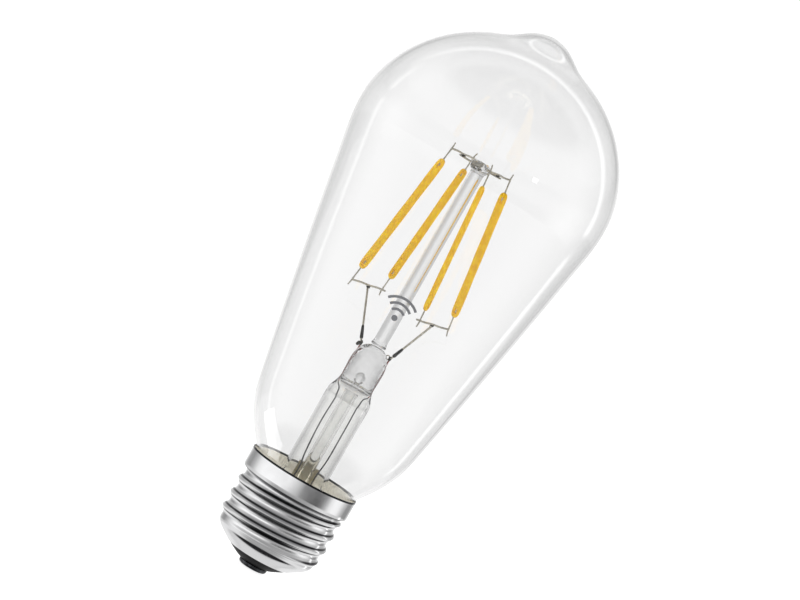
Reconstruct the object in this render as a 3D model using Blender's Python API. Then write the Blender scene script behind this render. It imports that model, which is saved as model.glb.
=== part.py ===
"""Filament LED lamp with an E27 screw cap, as an assembly of separate pieces.

Metres, +Z from the centre contact to the tip, origin on the face of the centre contact.
"""
from math import acos, atan2, cos, hypot, pi, radians, sin

import bmesh
import bpy
from mathutils import Vector

MM = 0.001

# Clearances
FIT_GAP = 0.2 * MM
WIRE_GAP = 0.08 * MM

# Glass envelope
BULB_DIAMETER = 64.0 * MM
BULB_LENGTH = 140.0 * MM
GLASS_WALL = 0.8 * MM
BELLY_DROP = 33.0 * MM
TAPER_LENGTH = 15.0 * MM
TAPER_INSET = 2.05 * MM
TAPER_LEANS = (0.2, 0.168)
SHOULDER_HEIGHT = 38.5 * MM
SHOULDER_RADIUS = 20.1 * MM
COLLAR_LEAVE = (2.6 * MM, 3.0 * MM)
COLLAR_ARRIVE = (1.2 * MM, 5.7 * MM)
NECK_TOP = 24.6 * MM
NECK_END = 20.9 * MM
CEMENT_THICKNESS = 0.5 * MM
CEMENT_HEIGHT = 3.7 * MM
DOME_RISE = 29.8 * MM
DOME_POWER = 1.93
TIP_FOOT_RADIUS = 10.8 * MM
TIP_WAIST_RADIUS = 6.6 * MM
TIP_WAIST_DROP = 2.55 * MM
TIP_LEAN = 0.8

# Screw cap
THREAD_PITCH = 25.4 / 7 * MM
THREAD_MAJOR_DIAMETER = 26.3 * MM
THREAD_DEPTH = 0.9 * MM
THREAD_CREST = 18.9 * MM
THREAD_FOOT = 7.2 * MM
THREAD_END = 19.6 * MM
SHEET = 0.3 * MM
SKIRT_STEP = 0.35 * MM
SKIRT_FOOT = 20.5 * MM
RIM_HEIGHT = 25.2 * MM
HEM_RADIUS = 8.1 * MM
HEM_HEIGHT = 3.3 * MM
CONTACT_DIAMETER = 7.0 * MM
CONTACT_HEIGHT = 1.0 * MM
SHANK_DIAMETER = 3.0 * MM
SHANK_TOP = 6.3 * MM
INSULATOR_TOP = 5.8 * MM

# Glass stem
TUBE_DIAMETER = 10.9 * MM
TUBE_SHOULDER = 44.6 * MM
PRESS_NARROWING = 2.5 * MM
PRESS_THICKNESS = 4.0 * MM
PRESS_TOP = 58.8 * MM
PRESS_FOOT = 49.2 * MM
EXHAUST_DIAMETER = 3.2 * MM
EXHAUST_WALL = 0.6 * MM
EXHAUST_TIP = 20.6 * MM
PRESS_HOLE_HEIGHT = 50.7 * MM
PRESS_HOLE_DIAMETER = 2.6 * MM
CAVITY_DROP = 1.2 * MM
PILLAR_DIAMETER = 3.3 * MM
PILLAR_HEAD_DIAMETER = 5.2 * MM
PILLAR_HEAD_HEIGHT = 3.2 * MM
PILLAR_RISE = 0.7 * MM

# Filaments, one set of values each
FILAMENT_LENGTH = 31.0 * MM
FILAMENT_WIDTH = 1.9 * MM
FILAMENT_THICKNESS = 1.1 * MM
FILAMENT_DROPS = (0.0, 0.0, 0.6 * MM, 0.0)
FILAMENT_FOOT_RADIUS = 13.0 * MM
FILAMENT_TOP_RADIUS = 8.6 * MM
FILAMENT_FOOT_ANGLES = (199, 115, 293, 25)
FILAMENT_TOP_ANGLES = (197, 109, 288, 25)
FILAMENT_FACE_ANGLES = (-22, -28, 60, -18)
CARRIER_WIDTH = 0.9 * MM
CARRIER_THICKNESS = 0.4 * MM
TERMINAL_INSET = 1.3 * MM
LEG_RADIUS = 0.18 * MM
TOP_LEG = 3.1 * MM
FOOT_LEG = 3.2 * MM
LEG_TAIL = 1.3 * MM

# Wires
BAR_RADIUS = 0.24 * MM
BAR_OVERHANG = 0.9 * MM
UPPER_BAR_DROP = 0.2 * MM
ANCHOR_DROP = 0.6 * MM
LEAD_RADIUS = 0.25 * MM
LEAD_BEND = 0.9 * MM
SLEEVE_RADIUS = 0.42 * MM
SEAL_RADIUS = 0.18 * MM
OUTER_LEAD_RADIUS = 0.17 * MM
SEAL_INSET = 0.42 * MM
SEAL_DEPTH = 1.3 * MM
DRIVER_WIRE_RADIUS = 0.3 * MM

# Driver: sizes are (x, y, z), places are (x, z) on the board's back or (x, y) in front of it
CUP_WALL = 0.6 * MM
CUP_FOOT = 6.6 * MM
CUP_TOP = 19.2 * MM
CUP_HOLE_RADIUS = 2.4 * MM
BOARD_THICKNESS = 1.0 * MM
BOARD_TOP = 18.9 * MM
BOARD_FRONT = 0.6 * MM
PARTS_LIFT = 0.4 * MM
CAPACITOR_DIAMETER = 6.2 * MM
CAPACITOR_HEIGHT = 10.4 * MM
CAPACITOR_GROOVE = 1.3 * MM
CAPACITOR_PLACE = (-4.6 * MM, -4.7 * MM)
INDUCTOR_DIAMETER = 6.0 * MM
INDUCTOR_SHAFT_DIAMETER = 2.8 * MM
INDUCTOR_HEIGHT = 6.0 * MM
INDUCTOR_FLANGE = 0.8 * MM
INDUCTOR_PLACE = (4.6 * MM, -4.3 * MM)
RESISTOR_DIAMETER = 2.2 * MM
RESISTOR_LENGTH = 6.0 * MM
RESISTOR_LIFT = 1.6 * MM
RESISTOR_FRONT = -8.2 * MM
FILM_CAPACITOR_SIZE = (5.4 * MM, 3.2 * MM, 4.0 * MM)
FILM_CAPACITOR_PLACE = (4.7 * MM, 16.2 * MM)
FILM_CAPACITOR_REACH = 1.8 * MM
RECTIFIER_SIZE = (4.6 * MM, 2.4 * MM, 3.8 * MM)
RECTIFIER_PLACE = (-5.6 * MM, 10.4 * MM)
CHIP_SIZE = (3.9 * MM, 1.5 * MM, 4.9 * MM)
CHIP_PLACE = (-5.5 * MM, 15.6 * MM)
HEADER_SIZE = (6.0 * MM, 2.2 * MM, 1.6 * MM)
HEADER_PLACE = (3.2 * MM, 9.4 * MM)
MODULE_SIZE = (8.6 * MM, 0.8 * MM, 10.4 * MM)
MODULE_PLACE = (3.2 * MM, 13.4 * MM)
CAN_SIZE = (6.6 * MM, 1.6 * MM, 6.4 * MM)
CAN_PLACE = (3.0 * MM, 13.2 * MM)
TERMINAL_SIZE = (1.6 * MM, 1.1 * MM, 2.0 * MM)
TERMINAL_PLACE = 3.0 * MM
ANTENNA_BOARD_THICKNESS = 0.8 * MM
ANTENNA_BOARD_HEIGHT = 8.0 * MM
ANTENNA_BOARD_SPREAD = 1.2
ANTENNA_BOARD_DEPTH = 0.6
ANTENNA_RADIUS = 0.12 * MM
ANTENNA_MARGIN = 0.9 * MM
ANTENNA_ROWS = 5
NEUTRAL_DEPTH = -1.0 * MM
SOLDER_RADIUS = 0.3 * MM

SIDES = 24
SMALL_SIDES = 12


def clear_objects():
    for obj in list(bpy.data.objects):
        bpy.data.objects.remove(obj, do_unlink=True)


def material(name, colour, roughness, metallic=0.0, transmission=0.0):
    mat = bpy.data.materials.new(name)
    mat.use_nodes = True
    shader = mat.node_tree.nodes["Principled BSDF"]
    shader.inputs["Base Color"].default_value = (*colour, 1.0)
    shader.inputs["Roughness"].default_value = roughness
    shader.inputs["Metallic"].default_value = metallic
    shader.inputs["Transmission Weight"].default_value = transmission
    return mat


def new_object(name, bm, mat):
    mesh = bpy.data.meshes.new(name)
    bmesh.ops.recalc_face_normals(bm, faces=bm.faces)
    bm.to_mesh(mesh)
    bm.free()
    mesh.materials.append(mat)
    mesh.shade_smooth()
    mesh.set_sharp_from_angle(angle=radians(35))
    obj = bpy.data.objects.new(name, mesh)
    bpy.context.collection.objects.link(obj)
    return obj


def cubic(a, b, c, d, steps):
    """Points of a cubic curve after its start a, up to its end d."""
    a, b, c, d = Vector(a), Vector(b), Vector(c), Vector(d)
    points = []
    for step in range(1, steps + 1):
        t = step / steps
        s = 1 - t
        points.append(a * s ** 3 + b * 3 * s * s * t + c * 3 * s * t * t + d * t ** 3)
    return [(p.x, p.y) for p in points]


def ellipse(height, radius, rise, start, end, steps):
    """Points (radius, height) of an elliptic arc centred on the axis."""
    points = []
    for step in range(steps + 1):
        angle = start + (end - start) * step / steps
        points.append((radius * cos(angle), height + rise * sin(angle)))
    return points


def inset_outline(points, distance):
    """The same outline moved by distance to its left, which is towards the axis going up."""
    moved = []
    for i, point in enumerate(points):
        before = points[max(i - 1, 0)]
        after = points[min(i + 1, len(points) - 1)]
        dr, dz = after[0] - before[0], after[1] - before[1]
        size = hypot(dr, dz)
        moved.append((point[0] - dz / size * distance, point[1] + dr / size * distance))
    return moved


def turned_mesh(outline, closed, sides):
    """Spin an outline of (radius, height) points a full turn about Z."""
    bm = bmesh.new()
    verts = [bm.verts.new((r, 0, z)) for r, z in outline]
    pairs = list(zip(verts, verts[1:]))
    if closed:
        pairs.append((verts[-1], verts[0]))
    edges = [bm.edges.new(pair) for pair in pairs]
    bmesh.ops.spin(
        bm,
        geom=verts + edges,
        axis=(0, 0, 1),
        cent=(0, 0, 0),
        angle=2 * pi,
        steps=sides,
        use_merge=True,
    )
    bmesh.ops.remove_doubles(bm, verts=bm.verts, dist=0.001 * MM)
    return bm


def turned(name, outline, mat, closed=True, sides=SIDES, at=(0, 0, 0)):
    bm = turned_mesh(outline, closed, sides)
    bmesh.ops.translate(bm, verts=bm.verts, vec=Vector(at))
    return new_object(name, bm, mat)


def rings_mesh(rings, closed=False):
    """Skin a stack of rings; both ends are capped, or joined to each other if closed."""
    bm = bmesh.new()
    loops = [[bm.verts.new(point) for point in ring] for ring in rings]
    pairs = list(zip(loops, loops[1:]))
    if closed:
        pairs.append((loops[-1], loops[0]))
    for lower, upper in pairs:
        for i in range(len(lower)):
            bm.faces.new((lower[i - 1], lower[i], upper[i], upper[i - 1]))
    if not closed:
        bm.faces.new(loops[0])
        bm.faces.new(loops[-1])
    return bm


def squared_ring(half_x, half_y, z, power, sides=SMALL_SIDES * 2):
    """A level ring between an ellipse (power 2) and a rounded rectangle."""
    ring = []
    for i in range(sides):
        angle = 2 * pi * i / sides
        c, s = cos(angle), sin(angle)
        x = half_x * abs(c) ** (2 / power) * (1 if c > 0 else -1)
        y = half_y * abs(s) ** (2 / power) * (1 if s > 0 else -1)
        ring.append((x, y, z))
    return ring


def strip_ring(point, across, through, half_width, half_thickness, sides=SMALL_SIDES):
    """An oval ring about a point of a filament."""
    ring = []
    for i in range(sides):
        angle = 2 * pi * (i + 0.5) / sides
        ring.append(point + across * (half_width * cos(angle)) + through * (half_thickness * sin(angle)))
    return ring


def smooth_route(points, per_span):
    """Points of a curve that runs smoothly through the given points."""
    points = [Vector(p) for p in points]
    padded = [points[0] * 2 - points[1], *points, points[-1] * 2 - points[-2]]
    route = []
    for i in range(1, len(padded) - 2):
        a, b, c, d = padded[i - 1:i + 3]
        for step in range(per_span):
            t = step / per_span
            bend = (a * 2 - b * 5 + c * 4 - d) * t * t + (b * 3 - a - c * 3 + d) * t ** 3
            route.append((b * 2 + (c - a) * t + bend) / 2)
    route.append(points[-1])
    return route


def wire(name, points, radius, mat, per_span=3):
    """A round wire with flat ends that runs smoothly through the given points."""
    route = smooth_route(points, per_span) if len(points) > 2 else [Vector(p) for p in points]
    curve = bpy.data.curves.new(name, "CURVE")
    curve.dimensions = "3D"
    curve.bevel_depth = radius
    curve.bevel_resolution = 2
    curve.use_fill_caps = True
    spline = curve.splines.new("POLY")
    spline.points.add(len(route) - 1)
    for spot, point in zip(spline.points, route):
        spot.co = (*point, 1.0)
    curve.materials.append(mat)
    obj = bpy.data.objects.new(name, curve)
    bpy.context.collection.objects.link(obj)
    return obj


def block(name, size, centre, mat, bevel=0.2 * MM):
    bm = bmesh.new()
    bmesh.ops.create_cube(bm, size=1.0)
    bmesh.ops.scale(bm, verts=bm.verts, vec=Vector(size))
    bmesh.ops.bevel(
        bm,
        geom=list(bm.edges),
        offset=bevel,
        offset_type="OFFSET",
        affect="EDGES",
        segments=1,
        profile=0.5,
        material=-1,
    )
    bmesh.ops.translate(bm, verts=bm.verts, vec=Vector(centre))
    return new_object(name, bm, mat)


def cut(target, cutter):
    cutter.hide_render = True
    cutter.display_type = "WIRE"
    modifier = target.modifiers.new(cutter.name, "BOOLEAN")
    modifier.operation = "DIFFERENCE"
    modifier.solver = "EXACT"
    modifier.object = cutter


def rod_between(name, start, end, radius, sides=SMALL_SIDES):
    """A straight solid rod used as a cutter."""
    start, end = Vector(start), Vector(end)
    bm = bmesh.new()
    length = (end - start).length
    bmesh.ops.create_cone(
        bm,
        cap_ends=True,
        segments=sides,
        radius1=radius,
        radius2=radius,
        depth=length,
    )
    turn = (end - start).to_track_quat("Z", "Y").to_matrix()
    bmesh.ops.rotate(bm, verts=bm.verts, cent=(0, 0, 0), matrix=turn)
    bmesh.ops.translate(bm, verts=bm.verts, vec=(start + end) / 2)
    return new_object(name, bm, None)


# Shared places, worked out from the sizes above

MINOR_RADIUS = THREAD_MAJOR_DIAMETER / 2 - THREAD_DEPTH
SKIRT_RADIUS = THREAD_MAJOR_DIAMETER / 2 + SKIRT_STEP
NECK_RADIUS = SKIRT_RADIUS - SHEET - CEMENT_THICKNESS - 2 * FIT_GAP
FLARE_RADIUS = NECK_RADIUS - GLASS_WALL - FIT_GAP
BELLY_HEIGHT = BULB_LENGTH - BELLY_DROP
TAPER_TOP = BELLY_HEIGHT - TAPER_LENGTH
TAPER_TOP_RADIUS = BULB_DIAMETER / 2 - TAPER_INSET
CUP_RADIUS = MINOR_RADIUS - SHEET - 2 * FIT_GAP
CUP_FLOOR = CUP_FOOT + CUP_WALL + FIT_GAP
BOARD_BACK = BOARD_FRONT + BOARD_THICKNESS
BOARD_WIDTH = 2 * ((CUP_RADIUS - CUP_WALL) ** 2 - BOARD_BACK ** 2) ** 0.5 - 6 * FIT_GAP
MODULE_FRONT = BOARD_BACK + HEADER_SIZE[1] + 2 * FIT_GAP
TUBE_RADIUS = TUBE_DIAMETER / 2
TUBE_BORE = TUBE_RADIUS - GLASS_WALL
ANTENNA_BOARD_FOOT = BOARD_TOP + FIT_GAP
ANTENNA_BOARD_BACK = TUBE_BORE * ANTENNA_BOARD_DEPTH + ANTENNA_BOARD_THICKNESS / 2
PRESS_WIDTH = TUBE_DIAMETER - PRESS_NARROWING
CAVITY_TOP = PRESS_FOOT - CAVITY_DROP
SEAL_X = PRESS_WIDTH / 2 - SEAL_INSET
SEAL_TOP = PRESS_TOP - SEAL_DEPTH
SEAL_FOOT = CAVITY_TOP - CAVITY_DROP / 2
FILAMENT_RUN = FILAMENT_FOOT_RADIUS - FILAMENT_TOP_RADIUS
FILAMENT_RISE = (FILAMENT_LENGTH ** 2 - FILAMENT_RUN ** 2) ** 0.5
UPPER_BAR_HEIGHT = BELLY_HEIGHT - UPPER_BAR_DROP
LOWER_BAR_HEIGHT = UPPER_BAR_HEIGHT - TOP_LEG - FILAMENT_RISE - FOOT_LEG
ANCHOR_HEIGHT = UPPER_BAR_HEIGHT - ANCHOR_DROP
PILLAR_TOP = UPPER_BAR_HEIGHT + PILLAR_RISE
WIRE_STEP = BAR_RADIUS + LEG_RADIUS + WIRE_GAP


def around(radius, degrees, z):
    angle = radians(degrees)
    return Vector((radius * cos(angle), radius * sin(angle), z))


def filament_line(index):
    """Lower and upper end of one filament's phosphor."""
    top_z = UPPER_BAR_HEIGHT - TOP_LEG - FILAMENT_DROPS[index]
    foot = around(FILAMENT_FOOT_RADIUS, FILAMENT_FOOT_ANGLES[index], top_z - FILAMENT_RISE)
    top = around(FILAMENT_TOP_RADIUS, FILAMENT_TOP_ANGLES[index], top_z)
    return foot, top


def leg_crossing(index, z):
    """Where the straight line of a filament and its legs passes the height z."""
    foot, top = filament_line(index)
    return foot + (top - foot) * ((z - foot.z) / (top.z - foot.z))


def dome_point(radius):
    """Place on the dome at a radius, and how fast it rises towards the axis there."""
    belly = BULB_DIAMETER / 2
    share = (1 - (radius / belly) ** 2) ** (1 / DOME_POWER)
    slope = 2 * radius * DOME_RISE / (belly ** 2 * DOME_POWER * share ** (DOME_POWER - 1))
    return (radius, BELLY_HEIGHT + DOME_RISE * share), slope


def envelope_outline():
    """Outer glass surface from the neck's end up to the tip."""
    belly = BULB_DIAMETER / 2
    low_lean, high_lean = TAPER_LEANS
    third = (TAPER_TOP - SHOULDER_HEIGHT) / 3
    rise = TAPER_LENGTH / 3
    points = [(NECK_RADIUS, NECK_END), (NECK_RADIUS, NECK_TOP)]
    points += cubic(
        points[-1],
        (NECK_RADIUS + COLLAR_LEAVE[0], NECK_TOP + COLLAR_LEAVE[1]),
        (SHOULDER_RADIUS - COLLAR_ARRIVE[0], SHOULDER_HEIGHT - COLLAR_ARRIVE[1]),
        (SHOULDER_RADIUS, SHOULDER_HEIGHT),
        7,
    )
    points += cubic(
        points[-1],
        (SHOULDER_RADIUS + low_lean * third, SHOULDER_HEIGHT + third),
        (TAPER_TOP_RADIUS - high_lean * third, TAPER_TOP - third),
        (TAPER_TOP_RADIUS, TAPER_TOP),
        4,
    )
    points += cubic(
        points[-1],
        (TAPER_TOP_RADIUS + high_lean * rise, TAPER_TOP + rise),
        (belly, BELLY_HEIGHT - rise),
        (belly, BELLY_HEIGHT),
        4,
    )
    foot, slope = dome_point(TIP_FOOT_RADIUS)
    steps = 10
    for step in range(1, steps):
        points.append(dome_point(belly * cos(step / steps * acos(TIP_FOOT_RADIUS / belly)))[0])
    points.append(foot)
    waist = (TIP_WAIST_RADIUS, BULB_LENGTH - TIP_WAIST_DROP)
    reach = (TIP_FOOT_RADIUS - TIP_WAIST_RADIUS) / 3
    points += cubic(
        foot,
        (foot[0] - reach, foot[1] + slope * reach),
        (waist[0] + reach, waist[1] - TIP_LEAN * reach),
        waist,
        3,
    )
    points += cubic(
        waist,
        (waist[0] - reach, waist[1] + TIP_LEAN * reach),
        (waist[0] / 2, BULB_LENGTH),
        (0, BULB_LENGTH),
        5,
    )
    return points


def glass_envelope(glass):
    outer = envelope_outline()
    inner = inset_outline(outer, GLASS_WALL)
    inner[0] = (inner[0][0], NECK_END)
    inner[-1] = (0.0, BULB_LENGTH - GLASS_WALL)
    turned("glass_envelope", list(reversed(inner)) + outer, glass, closed=False)


def thread_lift(z, angle):
    """How far the rolled thread stands out of the shell at a height and angle."""
    phase = (z - THREAD_CREST) / THREAD_PITCH - angle / (2 * pi)
    start = min(max((z - THREAD_FOOT) / (THREAD_PITCH / 2), 0), 1)
    stop = min(max((THREAD_END - z) / (THREAD_PITCH / 4), 0), 1)
    return THREAD_DEPTH * (0.5 + 0.5 * cos(2 * pi * phase)) * start * stop


def shell_outline():
    """Outer side of the cap's sheet, from the hem round the insulator up to the rim."""
    hem = (HEM_RADIUS, HEM_HEIGHT)
    points = [hem]
    points += cubic(
        hem,
        (HEM_RADIUS + 1.8 * MM, HEM_HEIGHT + 1.3 * MM),
        (MINOR_RADIUS, THREAD_FOOT - 1.5 * MM),
        (MINOR_RADIUS, THREAD_FOOT),
        4,
    )
    rows = round((THREAD_END - THREAD_FOOT) / (THREAD_PITCH / 6))
    for row in range(1, rows + 1):
        points.append((MINOR_RADIUS, THREAD_FOOT + (THREAD_END - THREAD_FOOT) * row / rows))
    points.append((SKIRT_RADIUS, SKIRT_FOOT))
    points.append((SKIRT_RADIUS, RIM_HEIGHT))
    return points


def cap_shell(nickel):
    outer = shell_outline()
    inner = inset_outline(outer, SHEET)
    inner[-1] = (inner[-1][0], RIM_HEIGHT)
    bm = turned_mesh(outer + list(reversed(inner)), True, SIDES)
    for vert in bm.verts:
        x, y, z = vert.co
        angle = atan2(y, x)
        lift = thread_lift(z, angle)
        vert.co.x += lift * cos(angle)
        vert.co.y += lift * sin(angle)
    new_object("cap_shell", bm, nickel)


def cap_insulator(black):
    foot = CONTACT_HEIGHT + FIT_GAP
    bore = SHANK_DIAMETER / 2 + FIT_GAP
    lip = HEM_RADIUS - FIT_GAP
    outline = [
        (bore, foot),
        (CONTACT_DIAMETER / 2 + 0.3 * MM, foot),
        (lip - 0.4 * MM, HEM_HEIGHT - 0.3 * MM),
        (lip, HEM_HEIGHT),
        (lip, HEM_HEIGHT + 0.35 * MM),
        (lip + 0.9 * MM, HEM_HEIGHT + 1.2 * MM),
        (lip + 0.9 * MM, INSULATOR_TOP),
        (bore, INSULATOR_TOP),
    ]
    turned("cap_insulator", outline, black)


def centre_contact(brass):
    radius = CONTACT_DIAMETER / 2
    outline = [(0, 0), (radius - 0.7 * MM, 0)]
    outline += cubic(
        outline[-1],
        (radius - 0.3 * MM, 0),
        (radius, 0.3 * MM),
        (radius, CONTACT_HEIGHT * 0.7),
        4,
    )
    outline += [
        (radius, CONTACT_HEIGHT),
        (SHANK_DIAMETER / 2, CONTACT_HEIGHT),
        (SHANK_DIAMETER / 2, SHANK_TOP),
        (0, SHANK_TOP),
    ]
    turned("centre_contact", outline, brass, closed=False)


def capping_cement(cement):
    inner = NECK_RADIUS + FIT_GAP
    outer = inner + CEMENT_THICKNESS
    foot = NECK_END + FIT_GAP
    outline = [(inner, foot), (outer, foot), (outer, foot + CEMENT_HEIGHT), (inner, foot + CEMENT_HEIGHT)]
    turned("capping_cement", outline, cement)


def flare_rings(inset):
    """Rings of the stem's wall from the flare's edge up to the shoulder, moved inwards by inset."""
    outline = [(FLARE_RADIUS, NECK_END)]
    outline += cubic(
        outline[0],
        (TUBE_RADIUS + 2.6 * MM, NECK_END + 0.3 * MM),
        (TUBE_RADIUS, NECK_END + 1.6 * MM),
        (TUBE_RADIUS, RIM_HEIGHT + 0.4 * MM),
        5,
    )
    outline.append((TUBE_RADIUS, TUBE_SHOULDER))
    if inset:
        outline = inset_outline(outline, inset)
        outline[0] = (FLARE_RADIUS - 0.3 * MM, NECK_END - inset)
    return [squared_ring(r, r, z, 2) for r, z in outline]


def stem_flare_tube(glass):
    half_width = PRESS_WIDTH / 2
    half_thick = PRESS_THICKNESS / 2
    outer = flare_rings(0)
    outer.append(squared_ring(TUBE_RADIUS * 0.97, TUBE_RADIUS * 0.86, TUBE_SHOULDER + 1.4 * MM, 2))
    outer.append(squared_ring(half_width * 1.12, half_thick * 1.6, CAVITY_TOP - 0.4 * MM, 2.4))
    outer.append(squared_ring(half_width, half_thick, PRESS_FOOT, 3.2))
    outer.append(squared_ring(half_width, half_thick, PRESS_TOP - 2.4 * MM, 3.2))
    outer.append(squared_ring(half_width * 0.93, half_thick * 0.97, PRESS_TOP - 1.1 * MM, 2.8))
    outer.append(squared_ring(half_width * 0.76, half_thick * 0.85, PRESS_TOP - 0.3 * MM, 2.4))
    outer.append(squared_ring(half_width * 0.55, half_thick * 0.7, PRESS_TOP, 2))
    inner = flare_rings(GLASS_WALL)
    inner.append(squared_ring(TUBE_BORE * 0.96, TUBE_BORE * 0.8, TUBE_SHOULDER + 1.2 * MM, 2))
    inner.append(squared_ring(half_width * 0.98, half_thick * 1.15, CAVITY_TOP - 0.9 * MM, 2.6))
    inner.append(squared_ring(half_width * 0.95, half_thick * 0.7, CAVITY_TOP, 3))
    stem = new_object("stem_flare_tube", rings_mesh(list(reversed(inner)) + outer), glass)
    for side, sign in (("left", -1), ("right", 1)):
        start = (sign * SEAL_X, 0, CAVITY_TOP - 0.5 * MM)
        end = (sign * SEAL_X, 0, PRESS_TOP + 1.0 * MM)
        cut(stem, rod_between("seal_bore_" + side, start, end, SEAL_RADIUS + WIRE_GAP, 8))
    exhaust_top = (0, 0, PRESS_HOLE_HEIGHT)
    cut(stem, rod_between("exhaust_channel", (0, 0, CAVITY_TOP - 0.5 * MM), exhaust_top, 0.9 * MM))
    hole_front = (0, -PRESS_THICKNESS, PRESS_HOLE_HEIGHT)
    hole_back = (0, PRESS_THICKNESS * 0.12, PRESS_HOLE_HEIGHT)
    cut(stem, rod_between("exhaust_hole", hole_back, hole_front, PRESS_HOLE_DIAMETER / 2))


def exhaust_tube(glass):
    outer = EXHAUST_DIAMETER / 2
    inner = outer - EXHAUST_WALL
    top = CAVITY_TOP - CAVITY_DROP
    tip = EXHAUST_TIP
    outline = [(0, tip)]
    outline += cubic((0, tip), (outer, tip), (outer, tip + outer * 0.6), (outer, tip + outer * 1.25), 4)
    outline += [(outer, top), (inner, top), (inner, tip + outer * 1.9), (0, tip + outer * 1.25)]
    turned("exhaust_tube", outline, glass, closed=False, sides=SMALL_SIDES)


def bar_direction(first, second, z):
    return (leg_crossing(second, z) - leg_crossing(first, z)).normalized()


def bar_middle(first, second, z):
    """Middle of a bar, which passes its two legs on the side of the axis."""
    middle = (leg_crossing(first, z) + leg_crossing(second, z)) / 2
    inward = -Vector((middle.x, middle.y, 0)).normalized()
    return middle + inward * WIRE_STEP


def glass_pillar(glass):
    foot = PRESS_TOP + FIT_GAP
    radius = PILLAR_DIAMETER / 2
    head = PILLAR_HEAD_DIAMETER / 2
    rise = PILLAR_HEAD_HEIGHT
    outline = [(0, foot), (radius * 1.15, foot), (radius, foot + 1.2 * MM), (radius, PILLAR_TOP - rise)]
    outline += cubic(
        outline[-1],
        (radius, PILLAR_TOP - rise * 0.69),
        (head, PILLAR_TOP - rise * 0.75),
        (head, PILLAR_TOP - rise * 0.4),
        4,
    )
    top = (0, PILLAR_TOP)
    outline += cubic(outline[-1], (head, PILLAR_TOP - rise * 0.1), (head * 0.6, PILLAR_TOP), top, 4)
    pillar = turned("glass_pillar", outline, glass, closed=False, sides=SMALL_SIDES * 2)
    left, right = anchor_ends()
    reach = (right - left).normalized() * PILLAR_HEAD_DIAMETER
    centre = Vector((0, 0, ANCHOR_HEIGHT))
    level = Vector((reach.x, reach.y, 0))
    cut(pillar, rod_between("anchor_bore", centre - level, centre + level, BAR_RADIUS + WIRE_GAP, 8))


def anchor_ends():
    """Where the anchor wire meets the upper bars, just below them."""
    below = Vector((0, 0, -2 * BAR_RADIUS - WIRE_GAP))
    left = bar_middle(0, 1, UPPER_BAR_HEIGHT) + below
    right = bar_middle(2, 3, UPPER_BAR_HEIGHT) + below
    return left, right


def upper_anchor_wire(nickel_wire):
    left, right = anchor_ends()
    along = Vector((right.x - left.x, right.y - left.y, 0)).normalized()
    centre = Vector((0, 0, ANCHOR_HEIGHT))
    head = along * (PILLAR_HEAD_DIAMETER / 2 + 0.5 * MM)
    points = [left - along * MM, left, centre - head, centre, centre + head, right, right + along * MM]
    wire("upper_anchor_wire", points, BAR_RADIUS, nickel_wire, 2)


def bars(nickel_wire):
    for level, z in (("lower", LOWER_BAR_HEIGHT), ("upper", UPPER_BAR_HEIGHT)):
        for side, first, second in (("left", 0, 1), ("right", 2, 3)):
            middle = bar_middle(first, second, z)
            direction = bar_direction(first, second, z)
            reach = (leg_crossing(second, z) - leg_crossing(first, z)).length / 2 + BAR_OVERHANG
            points = [middle - direction * reach, middle + direction * reach]
            wire(f"{level}_bar_{side}", points, BAR_RADIUS, nickel_wire)


def filament_frame(index):
    """Direction along a filament, across its face and through it."""
    foot, top = filament_line(index)
    along = (top - foot).normalized()
    face = radians(FILAMENT_FACE_ANGLES[index])
    through = along.cross(Vector((cos(face), sin(face), 0))).normalized()
    across = through.cross(along).normalized()
    return along, across, through


def filament(index, phosphor, sapphire, metal):
    foot, top = filament_line(index)
    along, across, through = filament_frame(index)
    name = f"filament_{index + 1}"
    half_width = FILAMENT_WIDTH / 2
    half_thick = FILAMENT_THICKNESS / 2
    bore_width = CARRIER_WIDTH / 2 + FIT_GAP
    bore_thick = CARRIER_THICKNESS / 2 + WIRE_GAP
    ends = ((0.0, 0.72), (0.5 * MM, 0.9), (1.5 * MM, 1.0))
    stations = [(foot + along * at, share) for at, share in ends]
    stations += [(top - along * at, share) for at, share in reversed(ends)]
    rings = [strip_ring(top, across, through, bore_width, bore_thick)]
    rings.append(strip_ring(foot, across, through, bore_width, bore_thick))
    for point, share in stations:
        rings.append(strip_ring(point, across, through, half_width * share, half_thick * share))
    new_object(name + "_phosphor", rings_mesh(rings, closed=True), phosphor)

    carrier = []
    for point in (foot + along * TERMINAL_INSET, top - along * TERMINAL_INSET):
        carrier.append(strip_ring(point, across, through, CARRIER_WIDTH / 2, CARRIER_THICKNESS / 2, 8))
    new_object(name + "_carrier", rings_mesh(carrier), sapphire)

    for place, end, outwards, bar_z in (
        ("foot", foot, -along, LOWER_BAR_HEIGHT),
        ("top", top, along, UPPER_BAR_HEIGHT),
    ):
        tab = end - outwards * (TERMINAL_INSET - WIRE_GAP)
        reach = abs((bar_z - end.z) / along.z)
        tail = end + outwards * (reach + LEG_TAIL)
        steps = [(tab, CARRIER_WIDTH / 2, CARRIER_THICKNESS / 2)]
        steps.append((end, CARRIER_WIDTH / 2, CARRIER_THICKNESS / 2))
        steps.append((end + outwards * 0.7 * MM, LEG_RADIUS, LEG_RADIUS))
        steps.append((tail, LEG_RADIUS, LEG_RADIUS))
        rings = [strip_ring(point, across, through, wide, thick, 8) for point, wide, thick in steps]
        new_object(f"{name}_{place}_terminal", rings_mesh(rings), metal)


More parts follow.
